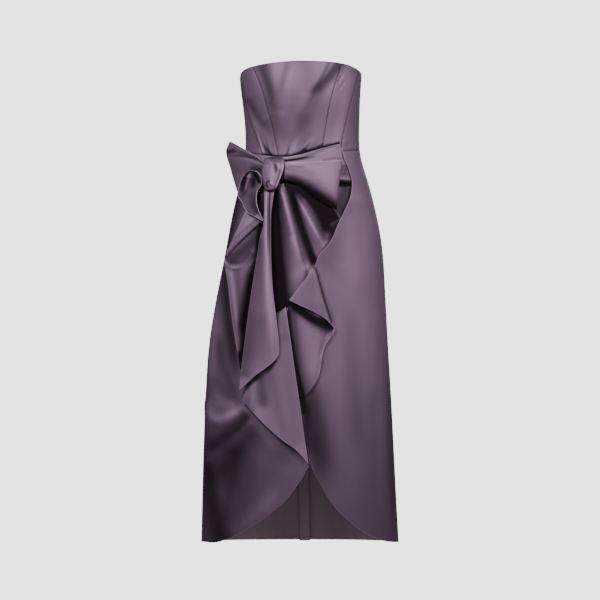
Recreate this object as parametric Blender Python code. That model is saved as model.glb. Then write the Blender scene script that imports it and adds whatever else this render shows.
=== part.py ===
"""Strapless satin gown: fitted bodice, wrap skirt with a rounded hem, and a bow whose ends fall as a cascade.

The frame has +Z up, the front of the gown towards -Y and the wearer's left towards +X. The origin is the
middle of the waist. Tables hold millimetres and degrees. A place in front view is (x, z), and a third value
is how far the cloth stands out from the body of the gown. Angles go round the body from centre front, 0,
through the wearer's left side, 90, to centre back, 180.
"""

import math
from collections import namedtuple

import bpy
import numpy as np

MM = 0.001
WALL = 1.6 * MM
SEAM_GAP = 0.4 * MM
WAIST_GAP = 0.8 * MM
INSIDE_GAP = 0.5 * MM
BACK_HEM = -0.936
FOLD_STEPS = 25
FOLD_RISE = 0.18
FOLD_FALL = 0.30
OVERLAP_FALL = 0.3
SIDE_SEAM_INSET = math.radians(0.2)
DISH_WALL = 0.7
CURL_DISH = 11 * MM

SATIN = (0.165, 0.118, 0.172, 1.0)
SATIN_DARK = (0.105, 0.074, 0.112, 1.0)
SATIN_ROUGHNESS = 0.42

# The body of the gown, ring by ring: where its two sides stand, and how deep it is in front and behind.
Ring = namedtuple("Ring", "height right left front back")
BODY_RINGS = (
    Ring(225, -150, 147, 98, 82),
    Ring(178, -149, 145, 110, 87),
    Ring(135, -144, 141, 113, 89),
    Ring(95, -139, 140, 104, 86),
    Ring(54, -135, 138.5, 94, 82),
    Ring(0, -134, 139, 89, 84),
    Ring(-45, -142, 152, 94, 100),
    Ring(-103, -155, 169, 102, 117),
    Ring(-155, -167, 181, 108, 126),
    Ring(-204, -176, 191, 112, 130),
    Ring(-265, -187, 197.5, 115, 130),
    Ring(-353, -205, 202, 118, 127),
    Ring(-478, -224, 209, 120, 124),
    Ring(-595, -231, 216, 121, 123),
    Ring(-732, -236, 223, 122, 124),
    Ring(-814, -238, 227, 123, 126),
    Ring(-940, -241, 234, 124, 130),
)

# Height of the top edge and of the waist seam, round the body.
Level = namedtuple("Level", "angle height")
TOP_EDGE = (
    Level(-180, 158), Level(-120, 164), Level(-90, 178), Level(-73, 192), Level(-53, 202), Level(-25, 211),
    Level(0, 215), Level(28, 213), Level(46, 208), Level(61, 200), Level(79, 190), Level(90, 182),
    Level(120, 166), Level(180, 158),
)
WAIST_SEAM = (
    Level(-180, 0), Level(-90, 0), Level(-60, -4), Level(-44, -8), Level(-25, -13), Level(-8, -13),
    Level(5, -9), Level(20, -3), Level(44, 1), Level(60, 3), Level(90, 6), Level(180, 0),
)

# Angles of the bodice seams, from the wearer's right to the left.
Seams = namedtuple("Seams", "height side_right princess_right princess_left side_left")
BODICE_SEAMS = (
    Seams(215, -101, -55, 42, 75),
    Seams(165, -96, -43.5, 35, 66),
    Seams(135, -90, -39.3, 31.5, 60.5),
    Seams(100, -71, -35.6, 27.5, 54),
    Seams(55, -60, -31, 23.8, 47.5),
    Seams(0, -45, -26, 19.2, 41),
    Seams(-13, -43, -25, 18.5, 40),
)

# A fold runs along a curve through three places. A trough has a height under zero.
Fold = namedtuple("Fold", "start middle end height start_width end_width")
BODICE_FOLDS = (
    Fold((-70, -10), (-80, 12), (-98, 34), 3, 4, 7),
    Fold((-62, -10), (-64, 12), (-70, 40), -3, 4, 7),
    Fold((-50, -14), (-52, 12), (-50, 46), 3.5, 5, 9),
    Fold((-30, -14), (-18, 4), (-4, 24), -3, 4, 7),
    Fold((-22, -14), (-6, 0), (14, 16), 3, 4, 7),
    Fold((0, -10), (20, 0), (44, 14), -2.5, 4, 6),
)
UNDERLAP_FOLDS = (
    Fold((-108, -602), (-172, -622), (-222, -582), 9, 9, 24),
    Fold((-112, -612), (-160, -657), (-206, -706), -7, 9, 20),
    Fold((-167, -680), (-174, -811), (-196, -980), -9, 20, 18),
    Fold((-84, -740), (-119, -847), (-170, -960), 8, 26, 22),
    Fold((-226, -640), (-228, -790), (-232, -980), 4, 16, 16),
)
OVERLAP_FOLDS = (
    Fold((52, -560), (56, -691), (70, -860), -4.5, 18, 20),
    Fold((118, -470), (122, -680), (140, -960), 7, 30, 30),
    Fold((178, -560), (186, -740), (196, -980), -4, 22, 22),
)
BACK_FOLDS = (
    Fold((-150, -330), (-158, -640), (-166, -1010), 7, 26, 34),
    Fold((-84, -420), (-88, -700), (-92, -1010), -6, 24, 30),
    Fold((72, -380), (82, -680), (90, -1010), 7, 26, 32),
    Fold((150, -420), (158, -700), (164, -1010), -6, 24, 30),
)

# Outlines in front view, as (x, z, stands out), each from its top or from the wearer's right.
UNDERLAP_EDGE = (
    (106, -2, 0), (118, -40, 0), (128, -85, 0), (124, -125, 0), (110, -175, 0), (84, -264, 0),
    (56, -355, 0), (40, -475, 0), (32, -595, 0), (27, -691, 0), (20, -746, 0),
)
UNDERLAP_HEM = (
    (-241, -934, 0), (-215, -935, 0), (-183, -927, 0), (-130, -901, 0), (-77, -866, 0), (-38, -832, 0),
    (-2, -784, 0), (20, -746, 0),
)
OVERLAP_EDGE = (
    (97, 0, 7), (103, -19, 9), (114, -46, 11), (121, -77, 12), (119, -101, 14), (105, -138, 18),
    (85, -180, 23), (42, -248, 26), (27, -295, 19), (12, -367, 8), (0, -475, 6), (-3, -595, 6),
    (6, -691, 5), (25, -758, 5),
)
OVERLAP_HEM = (
    (25, -758, 5), (44, -793, 4), (65, -828, 4), (93, -863, 3), (135, -899, 2), (170, -920, 1),
    (205, -932, 0), (234, -936, 0),
)

SASH_TOP = ((-46, -16, 5), (-4, -9, 5), (44, 5, 4), (90, 17, 3))
SASH_END = ((90, 17, 3), (102, -2, 3), (117, -34, 4), (127, -77, 4))
SASH_FOOT = ((-46, -60, 5), (44, -70, 5), (127, -77, 4))
SASH_ROOT = ((-46, -16, 5), (-46, -38, 5), (-46, -60, 5))

FAN_TOP = ((-110, -84, 10), (-66, -84, 12), (-42, -80, 12), (0, -91, 8), (46, -121, 7), (83, -147, 7))
FAN_RIGHT = ((-110, -84, 10), (-100, -150, 9), (-90, -211, 8), (-86, -331, 2.4), (-80, -400, 2.4))
FAN_LEFT = ((83, -147, 7), (90, -164, 7), (94, -184, 7), (90, -205, 7))
FAN_FOOT = ((-80, -400, 2.4), (-40, -372, 5), (0, -348, 6), (34, -306, 6), (60, -262, 7), (90, -205, 7))
FAN_FOLDS = (
    Fold((-47, -78), (-26, -170), (14, -345), 19, 6, 15),
    Fold((-18, -84), (13, -152), (68, -282), 16, 6, 14),
    Fold((-60, -84), (-58, -235), (-50, -440), -4, 6, 12),
)

TAIL_RIGHT = (
    (-88, -88, 28.8), (-90, -172, 28.8), (-99, -204, 29), (-106, -253, 30), (-118, -318, 30),
    (-131, -393, 29), (-140, -457, 28), (-148, -568, 26),
)
TAIL_LEFT = (
    (-64, -88, 28.8), (-73, -163, 30), (-72, -247, 31), (-69, -318, 31), (-61, -391, 31),
    (-53, -474, 29), (-54, -485, 29),
)
TAIL_TOP = ((-88, -88, 28.8), (-76, -88, 29.8), (-64, -88, 28.8))
TAIL_FOOT = (
    (-148, -568, 26), (-131, -554, 27), (-109, -534, 28), (-83, -515, 29), (-64, -499, 29),
    (-54, -485, 29),
)
TAIL_FOLDS = (
    Fold((-80, -90), (-86, -235), (-76, -520), 8, 7, 18),
    Fold((-92, -200), (-112, -340), (-136, -500), -3, 6, 10),
)

SIDE_RIGHT = (
    (-118, -104, 10.5), (-126, -128, 18), (-138, -154, 23), (-153, -186, 23), (-171, -225, 21),
    (-184, -254, 19), (-176, -319, 15), (-167, -393, 13), (-151, -490, 12), (-147, -518, 12),
)
SIDE_LEFT = (
    (-94, -98, 10.5), (-92, -150, 17), (-94, -190, 17), (-100, -253, 15), (-108, -318, 14),
    (-122, -400, 13), (-134, -470, 12), (-141, -518, 12),
)
SIDE_TOP = ((-118, -104, 10.5), (-106, -100, 10.5), (-94, -98, 10.5))
SIDE_FOOT = ((-147, -518, 12), (-144, -520, 12), (-141, -518, 12))
SIDE_FOLDS = (
    Fold((-86, -164), (-136, -200), (-196, -262), 8, 7, 6),
    Fold((-88, -186), (-134, -222), (-186, -264), -7, 8, 5),
    Fold((-190, -252), (-146, -282), (-104, -226), 6, 6, 6),
    Fold((-178, -270), (-168, -350), (-156, -470), 5, 9, 7),
)

POINT_TOP = ((-88, -352, 3.7), (-66, -346, 13), (-41, -354, 16))
POINT_RIGHT = ((-88, -352, 3.7), (-99, -450, 15), (-118, -534, 16), (-141, -593, 15))
POINT_LEFT = (
    (-41, -354, 16), (-35, -388, 18), (-27, -442, 18), (-18, -506, 17), (-7, -581, 14), (3, -653, 11),
    (16, -743, 9),
)
POINT_FOOT = (
    (-141, -593, 15), (-128, -607, 15), (-98, -641, 14), (-47, -687, 12), (-15, -710, 10),
    (16, -743, 9),
)
POINT_FOLDS = (
    Fold((-86, -500), (-90, -584), (-106, -650), -4, 9, 12),
    Fold((-64, -470), (-56, -580), (-34, -690), 4, 12, 14),
)

FLAP_TOP = ((24, -274, 30), (28, -271, 30), (33, -273, 29))
FLAP_RIGHT = ((24, -274, 30), (14, -299, 28), (-4, -322, 25), (-29, -355, 22))
FLAP_LEFT = ((33, -273, 29), (46, -315, 25), (59, -354, 21), (71, -390, 18), (79, -424, 14.9))
FLAP_FOOT = ((-29, -355, 22), (-6, -367, 23), (22, -380, 22), (58, -401, 18.5), (79, -424, 14.9))
FLAP_FOLDS = (Fold((28, -276), (36, -340), (52, -420), 3, 8, 16),)

FLOUNCE_TOP = ((-33, -356, 13), (0, -358, 12), (38, -372, 12), (68, -402, 12))
FLOUNCE_RIGHT = ((-33, -356, 13), (-30, -439, 13), (-19, -523, 12), (-6, -590, 8))
FLOUNCE_LEFT = (
    (68, -402, 12), (78, -426, 13), (66, -448, 13), (55, -467, 12), (48, -495, 11), (42, -531, 11),
    (28, -558, 10), (0, -592, 8),
)
FLOUNCE_FOOT = ((-6, -590, 8), (-3, -592, 8), (0, -592, 8))
FLOUNCE_FOLDS = (Fold((34, -360), (34, -470), (14, -600), 5, 16, 13),)

CURL_TOP = ((-124, -48, 38), (-119, -46, 38), (-113, -48, 38))
CURL_RIGHT = (
    (-124, -48, 38), (-138, -60, 38), (-146, -86, 38), (-154, -106, 37), (-140, -130, 35),
    (-128, -144, 34), (-110, -155, 32), (-93, -166, 30),
)
CURL_LEFT = (
    (-113, -48, 38), (-102, -55, 34), (-93, -70, 28.9), (-93, -84, 28.7), (-105, -97, 32),
    (-109, -115, 35), (-104, -138, 34), (-95, -156, 31), (-91, -165, 30),
)
CURL_FOOT = ((-93, -166, 30), (-92, -166, 30), (-91, -165, 30))
CURL_FOLDS = (Fold((-116, -50), (-117, -68), (-118, -92), 3, 2.5, 4),)

KNOT_TOP = ((-91, -16, 12), (-68, -13, 13), (-42, -16, 12))
KNOT_RIGHT = ((-91, -16, 12), (-96, -38, 29), (-97, -67, 31), (-90, -97, 31))
KNOT_LEFT = ((-42, -16, 12), (-39, -38, 28.3), (-43, -67, 31), (-54, -94, 31))
KNOT_FOOT = ((-90, -97, 31), (-72, -102, 32), (-54, -94, 31))
KNOT_FOLDS = (
    Fold((-66, -2), (-69, -55), (-72, -118), 11, 21, 21),
    Fold((-56, -14), (-54, -50), (-66, -96), -4, 4, 5),
    Fold((-82, -18), (-80, -52), (-82, -88), -3, 4, 5),
)

# A bow loop: its outline from the knot outwards, and how far its two layers part.
LOOP_LEFT_TOP = ((-41, -27), (-4, -28), (44, -25), (97, -23))
LOOP_LEFT_END = ((97, -23), (94, -55), (89, -91), (86, -122), (84, -150))
LOOP_LEFT_FOOT = ((-41, -72), (-26, -74), (8, -94), (44, -122), (84, -150))
LOOP_RIGHT_TOP = ((-92, -27), (-110, -12), (-138, 6), (-172, 25))
LOOP_RIGHT_END = ((-172, 25), (-181, -1), (-170, -48), (-155, -104))
LOOP_RIGHT_FOOT = ((-92, -72), (-112, -90), (-134, -101), (-155, -104))
LOOP_LEFT_OUTLINE = (LOOP_LEFT_TOP, LOOP_LEFT_END, LOOP_LEFT_FOOT)
LOOP_RIGHT_OUTLINE = (LOOP_RIGHT_TOP, LOOP_RIGHT_END, LOOP_RIGHT_FOOT)
LOOP_LEFT_FOLDS = (
    Fold((-46, -36), (0, -42), (60, -50), 3, 7, 16),
    Fold((-44, -60), (0, -74), (60, -104), -3, 5, 12),
)
LOOP_RIGHT_FOLDS = (
    Fold((-88, -36), (-124, -26), (-176, -8), 4, 6, 16),
    Fold((-88, -52), (-126, -52), (-172, -60), -4, 6, 14),
)
LOOP_BACK_STANDS = 5.8 * MM
LOOP_ROOT_DEPTH = 14.3 * MM
LOOP_LEFT_DEPTH = 22 * MM
LOOP_RIGHT_DEPTH = 17 * MM
LOOP_BACK_TUCK = 22 * MM
LOOP_BELLY_PLACE = 0.8
LOOP_END_POWER = 3
LOOP_ROWS = 9
LOOP_TURNS = 17
LOOP_STEPS = 41
ROLL_START = 0.45

SEAM_STRIP_SIDES = (173.8, 179.2)
SEAM_STRIP_TOP = -0.600
SEAM_STRIP_FOOT = -0.9385

# Rows down and columns across each sheet of points. Pieces that share a seam have the same rows.
LEVEL_PASSES = 6
BODICE_ROWS = 13
SKIRT_ROWS = 24
STRIP_ROWS = 9
STRIP_COLUMNS = 3

# The pieces. A side is a named seam of the bodice or an angle.
Panel = namedtuple("Panel", "name right left columns folds")
BODICE_PANELS = (
    Panel("bodice_centre_front", "princess_right", "princess_left", 12, BODICE_FOLDS),
    Panel("bodice_side_front_right", "side_right", "princess_right", 8, BODICE_FOLDS),
    Panel("bodice_side_front_left", "princess_left", "side_left", 6, BODICE_FOLDS),
    Panel("bodice_back_left", "side_left", 180, 12, ()),
    Panel("bodice_back_right", -180, "side_right", 11, ()),
)
SKIRT_BACKS = (
    Panel("skirt_back_left", 90, 180, 11, BACK_FOLDS),
    Panel("skirt_back_right", -180, -90, 11, BACK_FOLDS),
)
Front = namedtuple("Front", "name seam_angle edge hem folds columns")
SKIRT_FRONTS = (
    Front("skirt_underlap_right", -90, UNDERLAP_EDGE, UNDERLAP_HEM, UNDERLAP_FOLDS, 19),
    Front("skirt_overlap_left", 90, OVERLAP_EDGE, OVERLAP_HEM, OVERLAP_FOLDS, 15),
)
Loop = namedtuple("Loop", "name outline outwards folds roll depth")
LOOPS = (
    Loop("bow_loop_left", LOOP_LEFT_OUTLINE, 1, LOOP_LEFT_FOLDS, 0.75, LOOP_LEFT_DEPTH),
    Loop("bow_loop_right", LOOP_RIGHT_OUTLINE, -1, LOOP_RIGHT_FOLDS, 0.6, LOOP_RIGHT_DEPTH),
)
Sheet = namedtuple("Sheet", "name top foot right left rows columns folds")
WRAPPED_SHEETS = (
    Sheet("sash_left", SASH_TOP, SASH_FOOT, SASH_ROOT, SASH_END, 6, 12, ()),
    Sheet("drape_fan", FAN_TOP, FAN_FOOT, FAN_RIGHT, FAN_LEFT, 17, 29, FAN_FOLDS),
    Sheet("drape_point", POINT_TOP, POINT_FOOT, POINT_RIGHT, POINT_LEFT, 15, 11, POINT_FOLDS),
    Sheet("drape_flap", FLAP_TOP, FLAP_FOOT, FLAP_RIGHT, FLAP_LEFT, 9, 9, FLAP_FOLDS),
    Sheet("drape_flounce", FLOUNCE_TOP, FLOUNCE_FOOT, FLOUNCE_RIGHT, FLOUNCE_LEFT, 14, 11, FLOUNCE_FOLDS),
)
Hung = namedtuple("Hung", "name top foot right left rows columns folds dish")
HANGING_SHEETS = (
    Hung("bow_curl_right", CURL_TOP, CURL_FOOT, CURL_RIGHT, CURL_LEFT, 16, 9, CURL_FOLDS, CURL_DISH),
    Hung("bow_knot", KNOT_TOP, KNOT_FOOT, KNOT_RIGHT, KNOT_LEFT, 13, 11, KNOT_FOLDS, 0),
    Hung("tail_side_right", SIDE_TOP, SIDE_FOOT, SIDE_RIGHT, SIDE_LEFT, 22, 9, SIDE_FOLDS, 0),
    Hung("tail_front", TAIL_TOP, TAIL_FOOT, TAIL_RIGHT, TAIL_LEFT, 20, 9, TAIL_FOLDS, 0),
)


def smooth(places, values, at):
    """A smooth line through a table that never goes past its values."""
    places = np.asarray(places, float)
    values = np.asarray(values, float)
    step = np.diff(places)
    slope = np.diff(values) / step
    product = slope[1:] * slope[:-1]
    same_way = product > 0
    total = np.where(same_way, slope[1:] + slope[:-1], 1)
    inner = np.where(same_way, 2 * product / total, 0)
    tangent = np.concatenate([slope[:1], inner, slope[-1:]])
    at = np.clip(at, places[0], places[-1])
    k = np.clip(np.searchsorted(places, at) - 1, 0, len(step) - 1)
    t = (at - places[k]) / step[k]
    return (
        values[k] * (1 + 2 * t) * (1 - t) ** 2
        + values[k + 1] * t * t * (3 - 2 * t)
        + step[k] * (tangent[k] * t * (1 - t) ** 2 + tangent[k + 1] * t * t * (t - 1))
    )


def column(table, name, at):
    """A named column of a table, in metres or degrees, read at heights or angles."""
    rows = sorted(table, key=lambda row: row[0])
    return smooth([row[0] for row in rows], [getattr(row, name) for row in rows], at)


def body(height):
    """Centre, half width, front depth and back depth of the body at a height in metres."""
    at = np.asarray(height) / MM
    right, left, front, back = (column(BODY_RINGS, name, at) * MM for name in Ring._fields[1:])
    return (right + left) / 2, (left - right) / 2, front, back


def wrapped(angle, height, stands=0.0, fold=0.0):
    """Points round the body: moved forward by stands, and outwards by fold. Angles are in radians."""
    centre, half, front, back = body(height)
    deep = np.where(np.cos(angle) >= 0, front, back)
    outward = np.stack([np.sin(angle) / half, -np.cos(angle) / deep, 0 * angle], -1)
    outward /= np.linalg.norm(outward, axis=-1, keepdims=True)
    points = np.stack([centre + half * np.sin(angle), -deep * np.cos(angle) - stands, height + 0 * angle], -1)
    return points + outward * np.asarray(fold)[..., None]


def hanging(x, height, stands):
    """Points of a piece that hangs in front of the body and may reach past its sides."""
    centre, half, front, _ = body(height)
    across = (x - centre) / half
    return np.stack([x, -front * (1 - 0.5 * across**2) - stands, height], -1)


def angle_of(x, height):
    """The angle round the front of the body at a front-view place."""
    centre, half, _, _ = body(height)
    return np.arcsin(np.clip((x - centre) / half, -1, 1))


def line_through(points, count):
    """A smooth line through points, as count rows at even steps of its length, in metres."""
    points = np.array(points, float) * MM
    run = np.concatenate([[0], np.cumsum(np.linalg.norm(np.diff(points[:, :2], axis=0), axis=1))])
    at = np.linspace(0, run[-1], count)
    return np.stack([smooth(run, points[:, k], at) for k in range(points.shape[1])], -1)


def stretched(top, foot, right, left):
    """A sheet of points between four edges. Top and foot run from the wearer's right to the left."""
    u = np.linspace(0, 1, len(top))[None, :, None]
    v = np.linspace(0, 1, len(right))[:, None, None]
    across = (1 - v) * top[None] + v * foot[None]
    down = (1 - u) * right[:, None] + u * left[:, None]
    corners = (1 - u) * ((1 - v) * top[0] + v * foot[0]) + u * ((1 - v) * top[-1] + v * foot[-1])
    return across + down - corners


def fold_heights(x, z, folds):
    """How far a set of folds lifts the cloth at front-view places."""
    total = 0 * x
    t = np.linspace(0, 1, FOLD_STEPS)
    for fold in folds:
        start, middle, end = (np.array(place) * MM for place in (fold.start, fold.middle, fold.end))
        bend = 2 * middle - (start + end) / 2
        line = ((1 - t) ** 2)[:, None] * start + (2 * t * (1 - t))[:, None] * bend + (t**2)[:, None] * end
        apart = (x[..., None] - line[:, 0]) ** 2 + (z[..., None] - line[:, 1]) ** 2
        near = apart.argmin(-1)
        width = MM * (fold.start_width + (fold.end_width - fold.start_width) * t[near])
        rise = np.clip(t[near] / FOLD_RISE, 0, 1)
        fall = np.clip((1 - t[near]) / FOLD_FALL, 0, 1)
        strength = rise * rise * (3 - 2 * rise) * fall * fall * (3 - 2 * fall)
        total = total + MM * fold.height * strength * np.exp(-apart.min(-1) / width**2)
    return total


def satin(name, colour):
    material = bpy.data.materials.new(name + "_satin")
    material.use_nodes = True
    shader = material.node_tree.nodes["Principled BSDF"]
    shader.inputs["Base Color"].default_value = colour
    shader.inputs["Roughness"].default_value = SATIN_ROUGHNESS
    shader.inputs["Metallic"].default_value = 0.0
    material.diffuse_color = colour
    return material


def cloth_wall(name, outside, colour=SATIN):
    """One closed wall whose outer face is a sheet of points, as its own object."""
    rows, columns = outside.shape[:2]
    normals = np.cross(np.gradient(outside, axis=0, edge_order=2), np.gradient(outside, axis=1, edge_order=2))
    normals /= np.linalg.norm(normals, axis=-1, keepdims=True)
    inside = outside - normals * WALL
    points = np.concatenate([outside.reshape(-1, 3), inside.reshape(-1, 3)])
    index = np.arange(rows * columns).reshape(rows, columns)
    behind = index + rows * columns
    faces = []
    for i in range(rows - 1):
        for j in range(columns - 1):
            faces.append((index[i, j], index[i + 1, j], index[i + 1, j + 1], index[i, j + 1]))
            faces.append((behind[i, j], behind[i, j + 1], behind[i + 1, j + 1], behind[i + 1, j]))
    for i in range(rows - 1):
        faces.append((index[i, 0], behind[i, 0], behind[i + 1, 0], index[i + 1, 0]))
        faces.append((index[i + 1, -1], behind[i + 1, -1], behind[i, -1], index[i, -1]))
    for j in range(columns - 1):
        faces.append((index[0, j + 1], behind[0, j + 1], behind[0, j], index[0, j]))
        faces.append((index[-1, j], behind[-1, j], behind[-1, j + 1], index[-1, j + 1]))
    mesh = bpy.data.meshes.new(name)
    mesh.from_pydata(points.tolist(), [], [tuple(int(k) for k in face) for face in faces])
    mesh.shade_smooth()
    mesh.materials.append(satin(name, colour))
    piece = bpy.data.objects.new(name, mesh)
    bpy.context.scene.collection.objects.link(piece)
    return piece


def tube_panel(name, right, left, top, foot, rows, columns, folds):
    """A panel of the tube between two seams and two levels, each a function of height or angle in degrees."""
    u = np.linspace(0, 1, columns)[None, :]
    v = np.linspace(0, 1, rows)[:, None]
    height = np.full((rows, columns), top(0.0)) * (1 - v) + foot(0.0) * v
    for _ in range(LEVEL_PASSES):
        _, half, front, _ = body(height)
        inset = np.degrees(SEAM_GAP / 2 / np.minimum(half, front))
        angle = (right(height) + inset) * (1 - u) + (left(height) - inset) * u
        height = top(angle) * (1 - v) + foot(angle) * v
    angle = np.radians(angle)
    flat = wrapped(angle, height)
    return cloth_wall(name, wrapped(angle, height, fold=fold_heights(flat[..., 0], height, folds)))


def level(table, drop=0.0):
    return lambda angle: column(table, "height", angle) * MM - drop


def seam(name):
    return lambda height: column(BODICE_SEAMS, name, np.asarray(height) / MM)


def fixed(value):
    return lambda at: value + 0 * np.asarray(at)


def edge_points(top, foot, right, left, rows, columns):
    """The four edge lines of a sheet, at even steps."""
    lines = ((top, columns), (foot, columns), (right, rows), (left, rows))
    return [line_through(line, count) for line, count in lines]


def wrapped_sheet(name, top, foot, right, left, rows, columns, folds):
    """A sheet laid round the front of the body, from its outline in front view."""
    edges = []
    for line in edge_points(top, foot, right, left, rows, columns):
        x, z, stands = line.T
        edges.append(np.stack([angle_of(x, z), z, stands], -1))
    angle, height, stands = np.moveaxis(stretched(*edges), -1, 0)
    flat = wrapped(angle, height)
    return cloth_wall(name, wrapped(angle, height, stands, fold_heights(flat[..., 0], height, folds)))


def hanging_sheet(name, top, foot, right, left, rows, columns, folds, dish):
    """A sheet that hangs in front of the body, from its outline in front view."""
    edges = edge_points(top, foot, right, left, rows, columns)
    x, height, stands = np.moveaxis(stretched(*edges), -1, 0)
    across = np.sin(math.pi * np.linspace(0, 1, columns))[None, :]
    down = np.sin(math.pi * np.linspace(0, 1, rows))[:, None]
    stands = stands - dish * across**DISH_WALL * down**DISH_WALL + fold_heights(x, height, folds)
    return cloth_wall(name, hanging(x, height, stands))


def bow_loop(name, outline, outwards, folds, roll, depth):
    """A strip that leaves the knot, turns round at its end and comes back behind itself."""
    top, end, foot = outline
    edges = [line_through(line, LOOP_STEPS) for line in (top, foot)]
    end_line = line_through(end, LOOP_ROWS)
    part = np.linspace(0, 1, LOOP_ROWS)
    along = np.linspace(0, 1, LOOP_STEPS)
    end_bow = end_line - (end_line[0] + part[:, None] * (end_line[-1] - end_line[0]))
    rolled = roll * np.clip((part - ROLL_START) / (1 - ROLL_START), 0, 1) ** 2
    points = np.zeros((LOOP_ROWS, LOOP_TURNS, 3))
    for k, turn in enumerate(np.linspace(0, math.pi, LOOP_TURNS)):
        far = math.sin(turn)
        behind = (1 - math.cos(turn)) / 2
        upper, lower = (np.array([np.interp(far, along, edge[:, c]) for c in (0, 1)]) for edge in edges)
        x, z = (upper + part[:, None] * (lower - upper) + far**LOOP_END_POWER * end_bow).T
        z = z + LOOP_BACK_TUCK * behind * part
        belly = math.sin(math.pi / 2 * min(far / LOOP_BELLY_PLACE, 1))
        opening = (LOOP_ROOT_DEPTH + (depth - LOOP_ROOT_DEPTH) * belly) * (1 - rolled)
        stands = LOOP_BACK_STANDS + opening * (1 - behind)
        points[:, k] = hanging(x, z, stands + fold_heights(x, z, folds) * (1 - behind) ** 2)
    return cloth_wall(name, points if outwards > 0 else points[:, ::-1])


def bodice():
    for panel in BODICE_PANELS:
        right = seam(panel.right) if isinstance(panel.right, str) else fixed(panel.right)
        left = seam(panel.left) if isinstance(panel.left, str) else fixed(panel.left)
        top, foot = level(TOP_EDGE), level(WAIST_SEAM)
        tube_panel(panel.name, right, left, top, foot, BODICE_ROWS, panel.columns, panel.folds)


def skirt():
    for panel in SKIRT_BACKS:
        right, left = fixed(panel.right), fixed(panel.left)
        top, foot = level(WAIST_SEAM, WAIST_GAP), fixed(BACK_HEM)
        tube_panel(panel.name, right, left, top, foot, SKIRT_ROWS, panel.columns, panel.folds)
    for panel in SKIRT_FRONTS:
        front_panel(*panel)
    back_seam_strip()


def front_panel(name, seam_angle, edge, hem, folds, columns):
    """A skirt front from its side seam to its free edge, with the rounded hem between them."""
    rows = SKIRT_ROWS
    inset = math.copysign(SIDE_SEAM_INSET, seam_angle)
    seam_radians = math.radians(seam_angle) - inset
    edge_x, edge_z, edge_stands = line_through(edge, rows).T
    hem_x, hem_z, hem_stands = line_through(hem, columns).T
    free_edge = np.stack([angle_of(edge_x, edge_z), edge_z, edge_stands], -1)
    hem_line = np.stack([angle_of(hem_x, hem_z), hem_z, hem_stands], -1)
    waist_angle = np.linspace(seam_radians, free_edge[0, 0], columns)
    if seam_angle > 0:
        waist_angle = waist_angle[::-1]
        hem_line[-1, 0] = seam_radians
    else:
        hem_line[0, 0] = seam_radians
    waist_z = column(WAIST_SEAM, "height", np.degrees(waist_angle)) * MM - WAIST_GAP
    near_edge = np.linspace(1, 0, columns) if seam_angle > 0 else np.linspace(0, 1, columns)
    top = np.stack([waist_angle, waist_z, edge_stands[0] * near_edge], -1)
    corner = 0 if seam_angle > 0 else -1
    free_edge[:, 1] += np.linspace(top[corner, 1] - free_edge[0, 1], 0, rows)
    free_edge[-1] = hem_line[corner]
    side_end = -1 if seam_angle > 0 else 0
    side = np.stack(
        [
            np.full(rows, seam_radians),
            np.linspace(top[side_end, 1], hem_line[side_end, 1], rows),
            np.zeros(rows),
        ],
        -1,
    )
    right, left = (free_edge, side) if seam_angle > 0 else (side, free_edge)
    sheet = stretched(top, hem_line, right, left)
    angle, height, stands = sheet[..., 0], sheet[..., 1], sheet[..., 2]
    if seam_angle > 0:
        stands = stands * np.linspace(1, 0, columns)[None, :] ** OVERLAP_FALL
    flat = wrapped(angle, height)
    return cloth_wall(name, wrapped(angle, height, stands, fold_heights(flat[..., 0], height, folds)))


def back_seam_strip():
    """The pressed seam allowance inside the centre back, which shows under the front hems."""
    height, angle = np.meshgrid(
        np.linspace(SEAM_STRIP_TOP, SEAM_STRIP_FOOT, STRIP_ROWS),
        np.radians(np.linspace(*SEAM_STRIP_SIDES, STRIP_COLUMNS)),
        indexing="ij",
    )
    flat = wrapped(angle, height)
    inwards = fold_heights(flat[..., 0], height, BACK_FOLDS) - WALL - INSIDE_GAP
    cloth_wall("skirt_back_seam_strip", wrapped(angle, height, fold=inwards), SATIN_DARK)


def bow_and_drapes():
    for loop in LOOPS:
        bow_loop(*loop)
    for sheet in WRAPPED_SHEETS:
        wrapped_sheet(*sheet)
    for sheet in HANGING_SHEETS:
        hanging_sheet(*sheet)


def main():
    for old in list(bpy.data.objects):
        bpy.data.objects.remove(old, do_unlink=True)
    bodice()
    skirt()
    bow_and_drapes()


main()
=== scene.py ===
"""Strapless satin gown with a wrap skirt, a waist bow and draped ends, dressed in cloth over its frame.

The frame has +Z up, the front of the gown towards -Y and the wearer's left towards +X. The origin is the
middle of the waist. Tables hold millimetres and degrees. A place in front view is (x, z), and a third value
is how far the cloth stands out from the body of the gown.
"""

import math
from collections import namedtuple

import bpy
import numpy as np
from bpy.props import FloatProperty, FloatVectorProperty, IntProperty, PointerProperty
from bpy.types import NodeSocket, Operator, Panel, PropertyGroup
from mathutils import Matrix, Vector


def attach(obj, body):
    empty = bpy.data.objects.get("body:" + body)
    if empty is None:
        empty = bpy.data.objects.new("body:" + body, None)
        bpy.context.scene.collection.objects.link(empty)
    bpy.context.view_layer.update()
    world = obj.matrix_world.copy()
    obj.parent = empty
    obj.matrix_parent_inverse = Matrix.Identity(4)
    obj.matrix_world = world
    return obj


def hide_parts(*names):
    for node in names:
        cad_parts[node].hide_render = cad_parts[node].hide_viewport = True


bl_info = {
    "name": "Satin gown",
    "version": (1, 0, 0),
    "blender": (4, 5, 0),
    "location": "3D View > Sidebar > Gown",
    "description": "Builds the cut pieces of a satin gown, its bow and its drapes",
    "category": "Add Mesh",
}

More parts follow.
